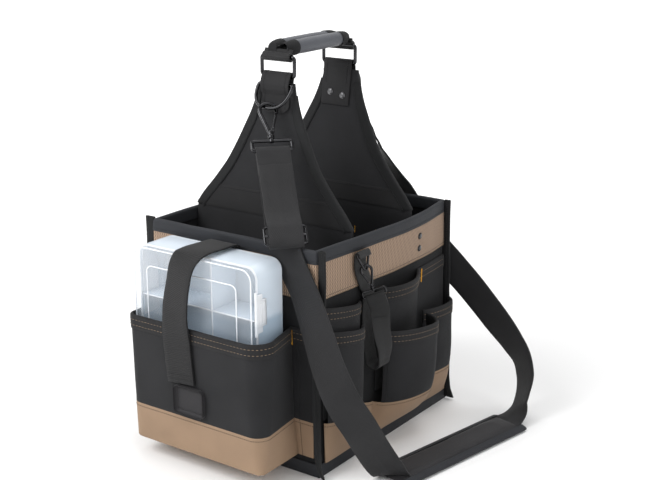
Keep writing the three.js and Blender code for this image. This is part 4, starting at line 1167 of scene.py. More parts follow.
@dataclass
class CasePocket:
    """The deep pocket on the front wall that holds the clear case."""

    centre: float = 0.25
    half: float = 84.75
    flare: float = 0.5
    front: float = -186.4
    flange: float = 104.5
    left_corner: Pair = (11.0, 7.0)
    right_corner: Pair = (3.0, 20.0)
    roots: Table = ((20.0, 84.0), (58.0, 78.5), (154.0, 75.0))
    cells: tuple[int, ...] = (8, 20, 8, 54, 14, 20, 8)
    foot: float = 20.0
    boot_top: float = 58.0
    hem_z: float = 154.0
    thickness: float = 1.6
    girth: float = 330.0
    floor_back: float = -124.6
    hem: Hem = field(default_factory=lambda: Hem(depth=14.0))

    def point(self, across: float, z: float) -> Vector:
        """A point on the pocket's inner face.

        Args:
            across: the share across from the left flange round both corners to the right flange.
            z: the height.

        Returns:
            The point in millimetres.
        """
        up = (z - self.foot) / (self.hem_z - self.foot)
        half = self.half + self.flare * up
        left, right = self.centre - half, self.centre + half
        near, far = mix(*self.left_corner, up), mix(*self.right_corner, clamp(up) ** 0.4)
        root = at_key(self.roots, z)[1]
        back = -FORM.half_depth(z) - 0.3
        leg, share = leg_at(self.cells, across)
        turn = 0.5 * math.pi * (share if leg == 2 else 1.0 - share)
        bend = vec(1.0 - math.cos(turn), 1.0 - math.sin(turn), 0)
        legs = ((mix(-self.flange, left, share), back), (left, mix(back, self.front + near, share)),
                (left + near * bend.x, self.front + near * bend.y),
                (mix(left + near, right - far, share), self.front),
                (right - far * bend.x, self.front + far * bend.y),
                (mix(right, root, share), mix(self.front + far, back, share)),
                (mix(root, self.flange, share), back))
        return vec(*legs[leg], z)

    def wall(self, low: float, high: float) -> Surface:
        """The pocket's inner face between two heights."""

        def face(across: float, along: float) -> Vector:
            """The cloth at one place."""
            z = mix(low, high, along)
            point = self.point(across, z)
            loose = clamp((-point.y - 150) / 36)
            swell = ripple(point, 48, 1.4) * loose * clamp((z - 30) / 30)
            return point + vec(0, min(0.6, -abs(swell) * 0.5), 0)

        return face

    def build(self) -> None:
        """Builds the black wall, the tan boot with its floor, the hem and the seams."""
        upper = self.wall(self.boot_top + 0.3, self.hem_z)
        rise, count = self.hem_z - self.boot_top, sum(self.cells)
        piece = cloth("case_pocket_cloth", upper, (count, 30), (self.girth, rise), self.thickness)
        enter(piece, CANVAS, "case_pocket")
        self.hem.build("case_pocket", upper, self.girth, rise, count)
        lower = self.wall(self.foot, self.boot_top)
        size = (self.girth, self.boot_top - self.foot)
        boot = cloth("case_pocket_boot_wall", lower, (count, 12), size, self.thickness)
        floor = self.build_floor()
        enter(join("case_pocket_boot_cloth", [boot, floor]), TAN, "case_pocket_boot")
        pipe("case_pocket", lower, 1.3, 0.45, 396)
        FINE_STITCH.sew("case_pocket_boot_stitches", [row_on(lower, 0.92, 1.7, 300)])
        self.build_tacks(lower, upper)

    def build_floor(self) -> Piece:
        """Closes the pocket's bottom with a sheet."""
        flange = self.cells[0] / sum(self.cells)

        def face(across: float, along: float) -> Vector:
            """The floor at one place, from the rim to the wall."""
            rim = self.point(mix(flange, 1.0 - flange, across), self.foot)
            x = mix(rim.x, self.centre + (rim.x - self.centre) * 0.98, along)
            return vec(x, mix(rim.y, self.floor_back, along), self.foot + 1.4)

        return cloth("case_pocket_floor", face, (sum(self.cells[1:-1]), 3), (200, 60), 1.2, side=0.0)

    def build_tacks(self, lower: Surface, upper: Surface) -> None:
        """Sews the amber tack at the right end of the hem and the dark seams down both sides."""
        for name, across in (("left", 0.04), ("right", 0.96)):
            rows = [row_up(surface, across, self.thickness + 0.1, 30) for surface in (lower, upper)]
            FINE_STITCH.sew(f"case_pocket_seam_{name}", rows)
        rise = self.hem_z - self.boot_top
        line = sewn(upper, [(0.944, 1.0 - down / rise) for down in (1, 8, 16)], self.thickness + 0.9)
        tack("case_pocket_tack", line, vec(0.8, 0, -0.7))


def rounded(half_x: float, half_z: float, radius: float, steps: int = 8) -> list[Pair]:
    """The outline of a rounded rectangle, anticlockwise from its right side."""
    corners = ((1, 1), (-1, 1), (-1, -1), (1, -1))
    points = []
    for quarter, (sx, sz) in enumerate(corners):
        for step in range(steps + 1):
            angle = (quarter + step / steps) * math.pi / 2.0
            points.append((sx * (half_x - radius) + radius * math.cos(angle),
                           sz * (half_z - radius) + radius * math.sin(angle)))
    return points


@dataclass
class PocketPatch:
    """The bare sewn patch on the front of the case pocket."""

    centre: Vector = field(default_factory=lambda: vec(-3.0, -188.3, 78.5))
    half_width: float = 19.5
    half_height: float = 15.0
    thickness: float = 1.0

    def build(self) -> None:
        """Shapes the patch from a block and binds it with a satin edge."""
        reach = vec(self.half_width, 0, self.half_height)
        low = self.centre - reach - vec(0, self.thickness, 0)
        piece = box("pocket_patch_cloth", low, self.centre + reach)
        round_all(5.0, 8)
        soften(piece, 0.3, 60)
        smooth(piece, 40)
        enter(piece, PAD_CLOTH, "pocket_patch")
        outline = rounded(self.half_width - 0.8, self.half_height - 0.8, 4.4)
        y = self.centre.y - self.thickness
        edge = [vec(self.centre.x + x, y, self.centre.z + z) for x, z in outline]
        enter(wire("pocket_patch_edge", edge, 0.45, closed=True), EDGE_TAPE)


@dataclass
class ClearCase:
    """The clear compartment case with its lid and latch lever."""

    left: float = -83.0
    right: float = 72.0
    back: float = -131.0
    seam: float = -170.5
    front: float = -180.0
    bottom: float = 23.0
    top: float = 228.0
    wall: float = 1.8
    radius: float = 12.0
    divider_x: float = 13.0
    divider_z: float = 173.0
    latch: Pair = (160.0, 205.0)
    pivot: float = -175.5

    def shell(self, name: str, open_y: float, shut_y: float) -> Piece:
        """A rounded shell, open at one end, by bevelling, insetting and sinking a block.

        Args:
            name: the piece's name.
            open_y: where the open rim lies.
            shut_y: where the closed face lies.

        Returns:
            The shell.
        """
        low = vec(self.left, min(open_y, shut_y), self.bottom)
        high = vec(self.right, max(open_y, shut_y), self.top)
        piece = box(name, low, high)

        def runs_back(edge: bpy.types.MeshEdge) -> bool:
            """Whether an edge runs from front to back."""
            first, second = (piece.data.vertices[index].co for index in edge.vertices)
            return abs(first.y - second.y) > max(abs(first.x - second.x), abs(first.z - second.z))

        pick(piece, "EDGE", runs_back)
        bpy.ops.mesh.bevel(offset=self.radius * MM, segments=8, affect="EDGES")
        bpy.ops.object.mode_set(mode="OBJECT")
        mouth = vec(0, math.copysign(1.0, open_y - shut_y), 0)
        hollow(piece, mouth, self.wall, abs(open_y - shut_y) - self.wall)
        soften(piece, 0.5, 60)
        smooth(piece, 35)
        return piece

    def build(self) -> None:
        """Builds the tray, its dividers, the lid, the rims and the latch."""
        inside = self.wall * 0.6
        parts = [self.shell("case_tray_shell", self.seam, self.back)]
        half, gap = self.wall * 0.5, 0.1
        x, z = self.divider_x, self.divider_z
        near, far = self.seam + 1, self.back - 1
        parts.append(block("case_upright", vec(x - half, near, self.bottom + inside),
                           vec(x + half, far, self.top - inside), 0.4))
        bays = ((self.left + inside, x - half - gap), (x + half + gap, self.right - inside))
        for index, (low, high) in enumerate(bays):
            shelf = vec(low, near, z - half)
            parts.append(block(f"case_shelf_{index}", shelf, vec(high, far, z + half), 0.4))
        enter(join("case_tray_clear", parts), TRAY_CLEAR, "case_tray")
        enter(self.shell("case_lid_clear", self.seam - 0.3, self.front), LID_CLEAR, "case_lid")
        self.build_rims()
        self.build_latch()

    def ring(self, inset: float, y: float) -> list[Vector]:
        """A rounded outline of the case, inset, at one depth."""
        middle = vec((self.left + self.right) / 2.0, y, (self.bottom + self.top) / 2.0)
        half_x, half_z = (self.right - self.left) / 2.0 - inset, (self.top - self.bottom) / 2.0 - inset
        outline = rounded(half_x, half_z, self.radius - inset * 0.3)
        return [middle + vec(x, 0, z) for x, z in outline]

    def build_rims(self) -> None:
        """Adds the rims in a pale finish, a painted highlight for the light that gathers in the plastic's
        edges.
        """
        x, y, z = self.divider_x, self.seam + 0.9, self.divider_z
        rims = [wire("case_rim_seam", self.ring(0.9, self.seam), 1.15, closed=True),
                wire("case_rim_front", self.ring(1.2, self.front + 0.9), 0.75, closed=True),
                wire("case_rim_back", self.ring(1.0, self.back - 0.9), 0.8, closed=True),
                wire("case_rim_panel", self.ring(19.0, self.front + 0.1), 0.7, closed=True),
                wire("case_rim_upright", [vec(x, y, self.bottom + 4), vec(x, y, self.top - 4)], 0.8),
                wire("case_rim_shelf", [vec(self.left + 3, y, z), vec(self.right - 3, y, z)], 0.8)]
        # The rims' pale colour is a painted highlight.
        enter(join("case_rims", rims), FROST_AND_EDGE_LIGHT)
        ribs, foot = [], 150
        for index in range(5):
            rib = vec(self.left, mix(self.back - 6, self.seam + 3, index / 4), foot)
            ribs.append(block(f"case_rib_{index}", rib - vec(0.6, 0.9, 0), rib + vec(0.6, 0.9, 65), 0.4, 2))
        ribs.append(block("case_hinge_wall", vec(self.left + 2.1, self.seam + 2, foot),
                          vec(self.left + 2.9, self.seam + 24, 219), 0.2))
        enter(join("case_hinge_ribs", ribs), FROST_AND_EDGE_LIGHT)

    def build_latch(self) -> None:
        """Builds the latch lever with its barrel, finger ribs and hook."""
        low, high = self.latch
        pivot, free = self.pivot, self.pivot + 15.0
        x0, x1 = self.right + 0.3, self.right + 3.5
        middle = (x0 + x1) / 2
        parts = [block("latch_plate", vec(x0 + 1.0, pivot, low + 9), vec(x1, free, high - 9), 0.6),
                 block("latch_hook", vec(x0, free - 3, low + 9), vec(x1, free, high - 9), 0.5),
                 pin("latch_barrel", vec(middle, pivot, low), vec(middle, pivot, high), 1.6, 0.3)]
        for index, z in enumerate((low + 3, high - 12)):
            lug = vec(x0 + 0.6, pivot, z)
            parts.append(block(f"latch_lug_{index}", lug, vec(x1 - 0.3, pivot + 9, z + 9), 0.5))
        for index in range(4):
            rib = vec(x1 - 0.4, pivot + 4 + index * 2.4, low + 12)
            parts.append(block(f"latch_rib_{index}", rib, vec(x1 + 0.5, rib.y + 1.0, high - 12), 0.3, 2))
        enter(join("case_latch_lever", parts), FROST_AND_EDGE_LIGHT, "case_latch", body=Body.LATCH)


@dataclass
class Station:
    """A place on a strap and the direction that its face looks in."""

    at: Vector
    face: Vector


@dataclass
class Ribbon:
    """Flat webbing through stations, evenly spread along its length."""

    stations: list[Station]
    width: float
    thickness: float
    fine: int = 14

    def __post_init__(self) -> None:
        """Samples the route and measures it."""
        self.samples: list[tuple[Vector, Vector]] = []
        places = [station.at for station in self.stations]
        for index in range(len(places) - 1):
            before = places[index - 1] if index else places[0] * 2.0 - places[1]
            after = places[index + 2] if index + 2 < len(places) else places[-1] * 2.0 - places[-2]
            for step in range(self.fine):
                share = step / self.fine
                point = self.curve(before, places[index], places[index + 1], after, share)
                face = self.stations[index].face.lerp(self.stations[index + 1].face, share)
                self.samples.append((point, face))
        self.samples.append((places[-1], self.stations[-1].face))
        self.runs = [0.0]
        for (first, _), (second, _) in zip(self.samples, self.samples[1:]):
            self.runs.append(self.runs[-1] + (second - first).length)

    @property
    def length(self) -> float:
        """The webbing's length in millimetres."""
        return self.runs[-1]

    @staticmethod
    def curve(a: Vector, b: Vector, c: Vector, d: Vector, share: float) -> Vector:
        """A smooth curve from b to c that keeps its speed by the spacing of its neighbours."""
        spans = [max(1e-4, math.sqrt((second - first).length)) for first, second in ((a, b), (b, c), (c, d))]
        start = ((b - a) / spans[0] - (c - a) / (spans[0] + spans[1]) + (c - b) / spans[1]) * spans[1]
        stop = ((c - b) / spans[1] - (d - b) / (spans[1] + spans[2]) + (d - c) / spans[2]) * spans[1]
        cubic = b * 2.0 - c * 2.0 + start + stop
        square = c * 3.0 - b * 3.0 - start * 2.0 - stop
        return cubic * share ** 3 + square * share ** 2 + start * share + b

    def place(self, along: float) -> tuple[Vector, Vector, Vector]:
        """The middle, the sideways direction and the facing at a share of the length."""
        due = clamp(along) * self.length
        low = min(len(self.runs) - 2, bisect_right(self.runs, due) - 1)
        high = low + 1
        share = (due - self.runs[low]) / max(1e-6, self.runs[high] - self.runs[low])
        point = self.samples[low][0].lerp(self.samples[high][0], share)
        face = self.samples[low][1].lerp(self.samples[high][1], share)
        before, after = max(0, low - 2), min(len(self.samples) - 1, high + 2)
        tangent = (self.samples[after][0] - self.samples[before][0]).normalized()
        across = tangent.cross(face).normalized()
        return point, across, across.cross(tangent).normalized()

    def surface(self) -> Surface:
        """The webbing's middle surface."""

        def flat(across: float, along: float) -> Vector:
            """The webbing at one place."""
            point, side, out = self.place(along)
            return point + side * ((across - 0.5) * self.width) + out * ripple(point, 60, 0.25)

        return flat

    def build(self, name: str, finish: Finish, nodes: Iterable[str], cells: int, held: str,
              rests_on: Sequence[str]) -> None:
        """Args:
            name: the piece's name.
            finish: the weave.
            nodes: the solids it replaces.
            cells: how many cells lie along it.
            held: how the webbing is held; not used.
            rests_on: what it hangs from or lies on; not used.
        """
        piece = cloth(name, self.surface(), (6, cells), (self.width, self.length), self.thickness, side=0.0)
        enter(piece, finish, *nodes)


def routed(rows: Table) -> list[Station]:
    """Stations from rows of three coordinates and three facing values."""
    return [Station(vec(*row[:3]), vec(*row[3:])) for row in rows]


def bent(middle: Vector, start: Vector, square: Vector, radius: float, turns: Iterable[float],
         side: float = 1.0) -> list[Station]:
    """Webbing bent round a middle.

    Args:
        middle: the bend's middle.
        start: the way from the middle at turn 0.
        square: the way from the middle a quarter turn on.
        radius: the bend's radius to the middle of the webbing.
        turns: where the stations lie, in half turns.
        side: 1 faces away from the middle and -1 towards it.

    Returns:
        Stations round the bend.
    """
    stations = []
    for turn in turns:
        away = start * math.cos(math.pi * turn) + square * math.sin(math.pi * turn)
        stations.append(Station(middle + away * radius, away * side))
    return stations


def loop_stations(bar: Vector, up: Vector, out: Vector, radius: float, layer: float,
                  tail: float) -> list[Station]:
    """Webbing folded over a bar: a tail behind, the turn and the front layer.

    Args:
        bar: the bar's middle.
        up: from the webbing towards the bar.
        out: the way that the front layer faces.
        radius: the turn's radius to the middle of the webbing.
        layer: how far each layer lies from the fold's middle.
        tail: the length of the folded part.

    Returns:
        Stations from the tail's end to the front layer's end.
    """
    end, waist = bar - up * tail, bar - up * tail * 0.4
    bulge = layer + 0.4
    back = [Station(end - out * layer, -out), Station(waist - out * bulge, -out)]
    front = [Station(waist + out * bulge, out.copy()), Station(end + out * layer, out.copy())]
    return back + bent(bar, up, out, radius, [step / 6.0 - 0.5 for step in range(7)]) + front


RING_FOOT = 389.5


@dataclass(frozen=True)
class End:
    """One end of the carrier: its name, its outward sign, and where its panel stands and leans to."""

    name: str
    out: int
    foot: float
    lean: float
    shift: float

    def y(self, z: float) -> float:
        """Where the panel's middle lies at a height."""
        return self.foot + self.lean * max(0.0, (z - FORM.height) / (RING_FOOT - FORM.height))

    def slope(self) -> float:
        """How far the panel leans for each millimetre up."""
        return self.lean / (RING_FOOT - FORM.height)


ENDS = (End("front", -1, -57.0, 17.0, 0.0), End("rear", 1, 46.0, 24.0, 4.0))


@dataclass
class Carrier:
    """The two bell-shaped panels, their bindings and tabs, the rings and the padded grip."""

    thickness: float = 2.6
    panel: Pair = (6.0, 383.0)
    crowding: float = 0.92
    bell: Table = (
        (6, 104.5), (234, 100.5), (244, 100), (256, 91.5), (272, 77.5), (294, 60.5), (315, 48.5),
        (335, 38.5), (349, 31.5), (364, 26), (383, 22))
    facing_foot: float = 242.0
    facing_tops: Pair = (268.0, 262.0)
    binding_z: Pair = (243.0, 371.0)
    binding_width: float = 9.5
    tab_half: float = 18.2
    tab_rows: Table = (
        (352, 1.9), (360, 1.8), (371, 1.9), (376, 4.6), (381, 5.6), (386, 4.6), (390, 3.0), (392, 1.6),
        (392.7, 0.0), (392, -1.6), (RING_FOOT, -2.5), (385, -1.8), (344, -1.7))
    ring_z: Pair = (RING_FOOT, 409.5)
    ring_half: float = 21.0
    ring_wire: float = 2.0
    d_bar: float = 381.0
    d_offset: float = 3.4
    d_half: float = 22.0
    d_drop: float = 27.0
    d_tilt: float = math.radians(33.0)
    d_wire: float = 1.8
    lobe: float = 7.6
    spread: float = 8.5
    grip_z: float = 417.6
    grip: Pair = (-40.0, 71.0)
    cuff: float = 17.0
    web_width: float = 35.0
    web_thickness: float = 2.0

    def build(self) -> None:
        """Builds both ends and the handle between them."""
        for end in ENDS:
            self.build_panel(end)
            self.build_binding(end)
            self.build_tab(end)
            self.build_rings(end)
            self.build_web(end)
        self.build_grip()
        self.build_rivets()
        self.build_tacks()

    def half(self, z: float) -> float:
        """Half the panel's width at a height."""
        return at_key(self.bell, z)[1]

    def edge(self, end: End, z: float, sign: int) -> Vector:
        """A point on the panel's side edge."""
        window = (-5.0, -2.5, 0.0, 2.5, 5.0) if 246 < z < 376 else (0.0,)
        half = sum(self.half(z + shift) for shift in window) / len(window)
        fade = clamp((300 - z) / (300 - FORM.height))
        spread = FORM.bow(end.foot, min(z, FORM.height)) * fade if sign > 0 else 0.0
        shift = end.shift * clamp((z - FORM.height) / 60)
        return vec(sign * (half + spread) + shift, end.y(z), z)

    def build_panel(self, end: End) -> None:
        """Lays one panel, with the sewn-on pocket line that shows across it."""

        def face(across: float, along: float) -> Vector:
            """The panel's rear face."""
            z = mix(*self.panel, along ** self.crowding)
            point = self.edge(end, z, -1).lerp(self.edge(end, z, 1), across)
            swell = ripple(point, 75, 0.9) * clamp(4.0 * across) * clamp(4.0 - 4.0 * across)
            return point + vec(0, self.thickness / 2 + swell * clamp((360 - z) / 40), 0)

        piece = cloth(f"divider_{end.name}_cloth", face, (56, 110), (200, 378), self.thickness)
        enter(piece, CANVAS, f"divider_{end.name}")
        self.build_facing(end, face)

    def build_facing(self, end: End, face: Surface) -> None:
        """Sews a facing layer over the lower part of each side of a panel."""
        top = self.facing_tops[ENDS.index(end)]
        foot, head = self.panel
        for side in (-1, 1):

            def layer(across: float, along: float) -> Vector:
                """The facing's own inner face."""
                z = mix(self.facing_foot, top, along)
                inset = self.binding_width * 0.7 / (2 * self.half(z))
                rise = (z - foot) / (head - foot)
                point = face(mix(inset, 1 - inset, across), rise ** (1 / self.crowding))
                shift = 0.1 if side > 0 else -self.thickness - 0.1
                return vec(point.x, point.y + shift, point.z)

            turned = flipped(layer) if side > 0 else layer
            name = f"divider_{end.name}_facing_{'rear' if side > 0 else 'front'}"
            enter(cloth(name, turned, (40, 8), (170, 26), 0.5), HEM)
            FINE_STITCH.sew(f"{name}_stitches", [row_on(turned, 0.9, 0.6, 60)])

    def build_binding(self, end: End) -> None:
        """Folds tape over both side edges of one panel."""
        face = vec(0, 1, -end.slope()).normalized()
        slot = self.thickness / 2 + 0.25
        for hand, sign in (("left", -1), ("right", 1)):

            def folded(across: float, along: float) -> Vector:
                """The tape's inner face, round the edge."""
                z = mix(*self.binding_z, along)
                here = self.edge(end, z, sign)
                tangent = (self.edge(end, z + 1.5, sign) - self.edge(end, z - 1.5, sign)).normalized()
                into = tangent.cross(face)
                into = into if into.x * sign < 0 else -into
                reach = self.binding_width * (1.0 - 0.35 * clamp((z - 345) / 20))
                turn, angle, leg = fold_over(across, 0.25)
                lift = math.copysign(slot * math.sin(angle), turn)
                depth = -0.9 * math.cos(angle) + leg * reach
                return here + into * depth + face * lift + face * math.copysign(ripple(here, 24, 0.2), turn)

            turned = folded if sign > 0 else flipped(folded)
            piece = cloth(f"divider_{end.name}_{hand}_tape", turned, (20, 60), (22, 170), 0.75)
            enter(piece, EDGE_TAPE, f"divider_binding_{end.name}_{hand}")
            rows = [row_up(turned, across, 0.85, 80) for across in (0.05, 0.95)]
            FINE_STITCH.sew(f"divider_{end.name}_{hand}_stitches", rows)

    def build_tab(self, end: End) -> None:
        """Folds the tab over the handle ring's lower bar, with its two seams."""

        def folded(across: float, along: float) -> Vector:
            """The tab's inner face."""
            z, off = down_rows(self.tab_rows, along)
            tongue = clamp(along * (len(self.tab_rows) - 1))
            half = self.tab_half * math.sqrt(1.0 - 0.75 * (1.0 - tongue) ** 2)
            x = mix(-half, half, across) * -end.out
            return vec(x, end.y(z) + end.out * off, z)

        enter(cloth(f"tab_{end.name}_cloth", folded, (22, 60), (37, 92), 1.4), HEM, f"tab_{end.name}")
        seams = [row_up(folded, across, 1.5, 80, 0.05, 0.95) for across in (0.13, 0.87)]
        FINE_STITCH.sew(f"tab_{end.name}_stitches", seams)

    def d_point(self, end: End, x: float, down: float) -> Vector:
        """A point of the D ring, measured from its bar down its tilted plane."""
        bar = vec(x, end.y(self.d_bar) + end.out * self.d_offset, self.d_bar)
        return bar + vec(0, end.out * math.sin(self.d_tilt), -math.cos(self.d_tilt)) * down

    def build_rings(self, end: End) -> None:
        """Bends the handle ring and the D ring from round wire."""
        low, high = self.ring_z
        y = end.y(low)
        path = [vec(x, y, (low + high) / 2 + z) for x, z in rounded(self.ring_half, (high - low) / 2, 3.0, 6)]
        self.enter_ring(f"handle_ring_{end.name}", path, self.ring_wire)
        bow = []
        for step in range(33):
            angle = math.pi * step / 32
            across = math.copysign(abs(math.cos(angle)) ** 0.8, math.cos(angle))
            bow.append(self.d_point(end, self.d_half * across, mix(3.0, self.d_drop, math.sin(angle) ** 0.9)))
        reach = self.d_half - 0.6
        bar = [self.d_point(end, x, down) for x, down in (
            (-reach, 0.9), (-reach + 1.2, 0.0), (0.0, 0.0), (reach - 1.2, 0.0), (reach, 0.9))]
        self.enter_ring(f"d_ring_{end.name}", bow + bar, self.d_wire)

    @staticmethod
    def enter_ring(name: str, path: Path, radius: float) -> None:
        """Bends one plated ring."""
        enter(wire(f"{name}_wire", path, radius, closed=True), NICKEL, name)

    def build_web(self, end: End) -> None:
        """Wraps the grip's webbing round the handle ring's upper bar."""
        y, z = end.y(self.ring_z[0]), self.ring_z[1]
        start = self.grip[0] + 2.0 if end.out < 0 else self.grip[1] - 2.0
        radius = self.ring_wire + 1.9
        stations = [Station(vec(0, start, self.grip_z - 0.6), vec(0, 0, 1))]
        turns = [0.5 - step / 8 for step in range(9)]
        stations += bent(vec(0, y, z), vec(0, end.out, 0), vec(0, 0, 1), radius, turns)
        stations.append(Station(vec(0, start, self.grip_z - 5.0), vec(0, 0, -1)))
        web, ring = f"handle_web_{end.name}", f"handle_ring_{end.name}"
        ribbon = Ribbon(stations, self.web_width, self.web_thickness)
        ribbon.build(f"{web}_strap", RIBBED, [web], 60, "folded", [f"{ring}_wire"])

    def grip_point(self, turn: float, y: float, scale: float) -> Vector:
        """A point on the grip's double-lobed section at a share of the turn."""
        side = 1 if turn < 0.5 else -1
        share = (turn % 0.5) * 2.0
        meet = math.pi - math.asin(0.35)
        angle = mix(-meet, meet, share)
        radius = self.lobe * scale
        x = side * (self.spread * (0.35 + 0.65 * scale) + radius * math.cos(angle))
        return vec(x, y, self.grip_z + side * radius * math.sin(angle))

    def build_grip(self) -> None:
        """Rolls the padded grip and binds its ends."""
        front, rear = self.grip
        low, high = front + self.cuff, rear - self.cuff

        def body(across: float, along: float) -> Vector:
            """The padded part, a little fuller in its middle."""
            scale = 0.965 + 0.05 * math.sin(math.pi * along) ** 0.5
            point = self.grip_point(across, mix(low - 2, high + 2, along), scale)
            return point + vec(0, 0, ripple(point, 22, 0.35))

        piece = sheet("handle_grip_pad", body, (72, 40), (110, 64), closed=True)
        smooth(piece, 80)
        self.close_ends(piece)
        enter(piece, GRIP, "handle_grip")
        for name, start, stop in (("front", front, low), ("rear", rear, high)):
            self.build_cuff(name, start, stop)

    @staticmethod
    def close_ends(piece: Piece) -> None:
        """Fills the open ends of a tube and turns its faces outwards."""
        choose(piece)
        bpy.ops.object.mode_set(mode="EDIT")
        bpy.ops.mesh.select_mode(type="VERT")
        bpy.ops.mesh.select_all(action="DESELECT")
        bpy.ops.mesh.select_non_manifold()
        bpy.ops.mesh.fill_holes(sides=0)
        bpy.ops.mesh.select_all(action="SELECT")
        bpy.ops.mesh.normals_make_consistent(inside=False)
        bpy.ops.object.mode_set(mode="OBJECT")

    def build_cuff(self, name: str, start: float, stop: float) -> None:
        """Gathers the black cuff over one end of the grip."""

        def folded(across: float, along: float) -> Vector:
            """The cuff's outer face, drawn in towards its end."""
            scale = 1.05 - 0.3 * (1.0 - along) ** 2.4
            point = self.grip_point(across, mix(start, stop, along), scale)
            return point + vec(0, 0, ripple(point, 9, 0.3))

        piece = sheet(f"grip_cuff_{name}_cloth", folded, (72, 14), (110, self.cuff), closed=True)
        self.close_ends(piece)
        smooth(piece, 60)
        enter(piece, LINING, f"grip_cuff_{name}")

    def build_rivets(self) -> None:
        """Sets the two pale rivets on the inner leg of the rear tab."""
        end = ENDS[1]
        for index, (x, z) in enumerate(((-6.6, 357.7), (9.9, 354.9))):
            seat = vec(x, end.y(z) - 3.2, z)
            rivet(f"tab_rivet_{index}", seat, vec(0, -1, 0.1).normalized(), RIVET)

    def build_tacks(self) -> None:
        """Sews the two amber bar tacks low on the front face of the rear panel."""
        out, off = vec(0, -1, 0), self.thickness / 2 + 1.0
        rows = [[(vec(x, ENDS[1].y(z) - off, z), out) for z in (215.0, 211.0, 207.0)] for x in (39.0, 66.0)]
        BAR_TACK.sew("divider_tacks", rows)


HOOK_REACH = 48.8


@dataclass
class HookFrame:
    """Where a snap hook hangs: its bar, and its across, up and facing directions."""

    bar: Vector
    side: Vector
    up: Vector
    scale: float = 1.0

    @classmethod
    def between(cls, seat: Vector, bar: Vector, across: Vector, scale: float) -> "HookFrame":
        """A frame whose up direction runs from the webbing bar to the ring it is clipped to."""
        up = (seat - bar).normalized()
        side = (across - up * across.dot(up)).normalized()
        return cls(seat - up * (HOOK_REACH * scale), side, up, scale)

    @property
    def out(self) -> Vector:
        """The direction that the hook faces."""
        return self.side.cross(self.up)

    def at(self, across: float, up: float, out: float = 0.0) -> Vector:
        """A point from the hook's own plane."""
        return self.bar + (self.side * across + self.up * up + self.out * out) * self.scale


@dataclass
class SnapHook:
    """A swivelling snap hook with a webbing loop and a sprung gate."""

    frame: HookFrame
    name: str
    loop_half: float = 20.5
    bow: float = 8.5
    wire_radius: float = 2.1

    def build(self, gate_body: Body, split: bool) -> None:
        """Builds loop, swivel, hook and gate.

        Args:
            gate_body: the body that the gate rides on.
            split: whether the loop and the hook are separate solids.
        """
        scale, at = self.frame.scale, self.frame.at
        outline = [at(x, 5.5 + z) for x, z in rounded(self.loop_half, 5.5, 3.0, 6)]
        loop = wire("loop", outline, 1.8 * scale, closed=True)
        collar = pin("collar", at(0, 9.0), at(0, 12.9), 2.6 * scale, 0.5 * scale)
        loop = join(f"{self.name}_loop", [loop, collar])
        post = pin("post", at(0, 13.1), at(0, 17.5), 3.3 * scale, 0.9 * scale)
        neck = pin("neck", at(0, 16.5), at(0, 22.5), 2.5 * scale, 0.7 * scale)
        arc = [at(self.bow * math.cos(angle), 46 + self.bow * math.sin(angle))
               for angle in (math.pi * (1 - step / 18) for step in range(19))]
        path = [at(-0.3, 17), at(-1.1, 20), at(-2.2, 23), at(-4.2, 30), at(-6.4, 37), at(-8.1, 42.5)] + arc
        path += [at(self.bow, 44), at(self.bow - 0.1, 42.5)]
        body = wire("bow", path, self.wire_radius * scale)
        nose = pin("nose", at(self.bow, 43.6), at(self.bow - 0.15, 41.8), 1.9 * scale, 0.5 * scale)
        foot = pin("foot", at(2.4, 21.5, -1.7), at(2.4, 21.5, 1.7), 2.0 * scale, 0.4 * scale)
        hook = join(f"{self.name}_bow", [body, post, neck, nose, foot])
        if split:
            enter(loop, NICKEL, self.name.replace("strap_hook", "strap_loop"))
            enter(hook, NICKEL, self.name)
        else:
            enter(join(f"{self.name}_body", [hook, loop]), NICKEL, self.name)
        lever = [at(3, 24), at(4.1, 28), at(5.4, 32.5), at(6.6, 36.8), at(7.5, 40.2)]
        gate = [wire("lever", lever, 1.4 * scale),
                pin("knuckle", at(3, 24, -2.0), at(3, 24, 2.0), 1.7 * scale, 0.4 * scale)]
        enter(join(f"{self.name}_gate", gate), NICKEL, gate_body.value, body=gate_body)


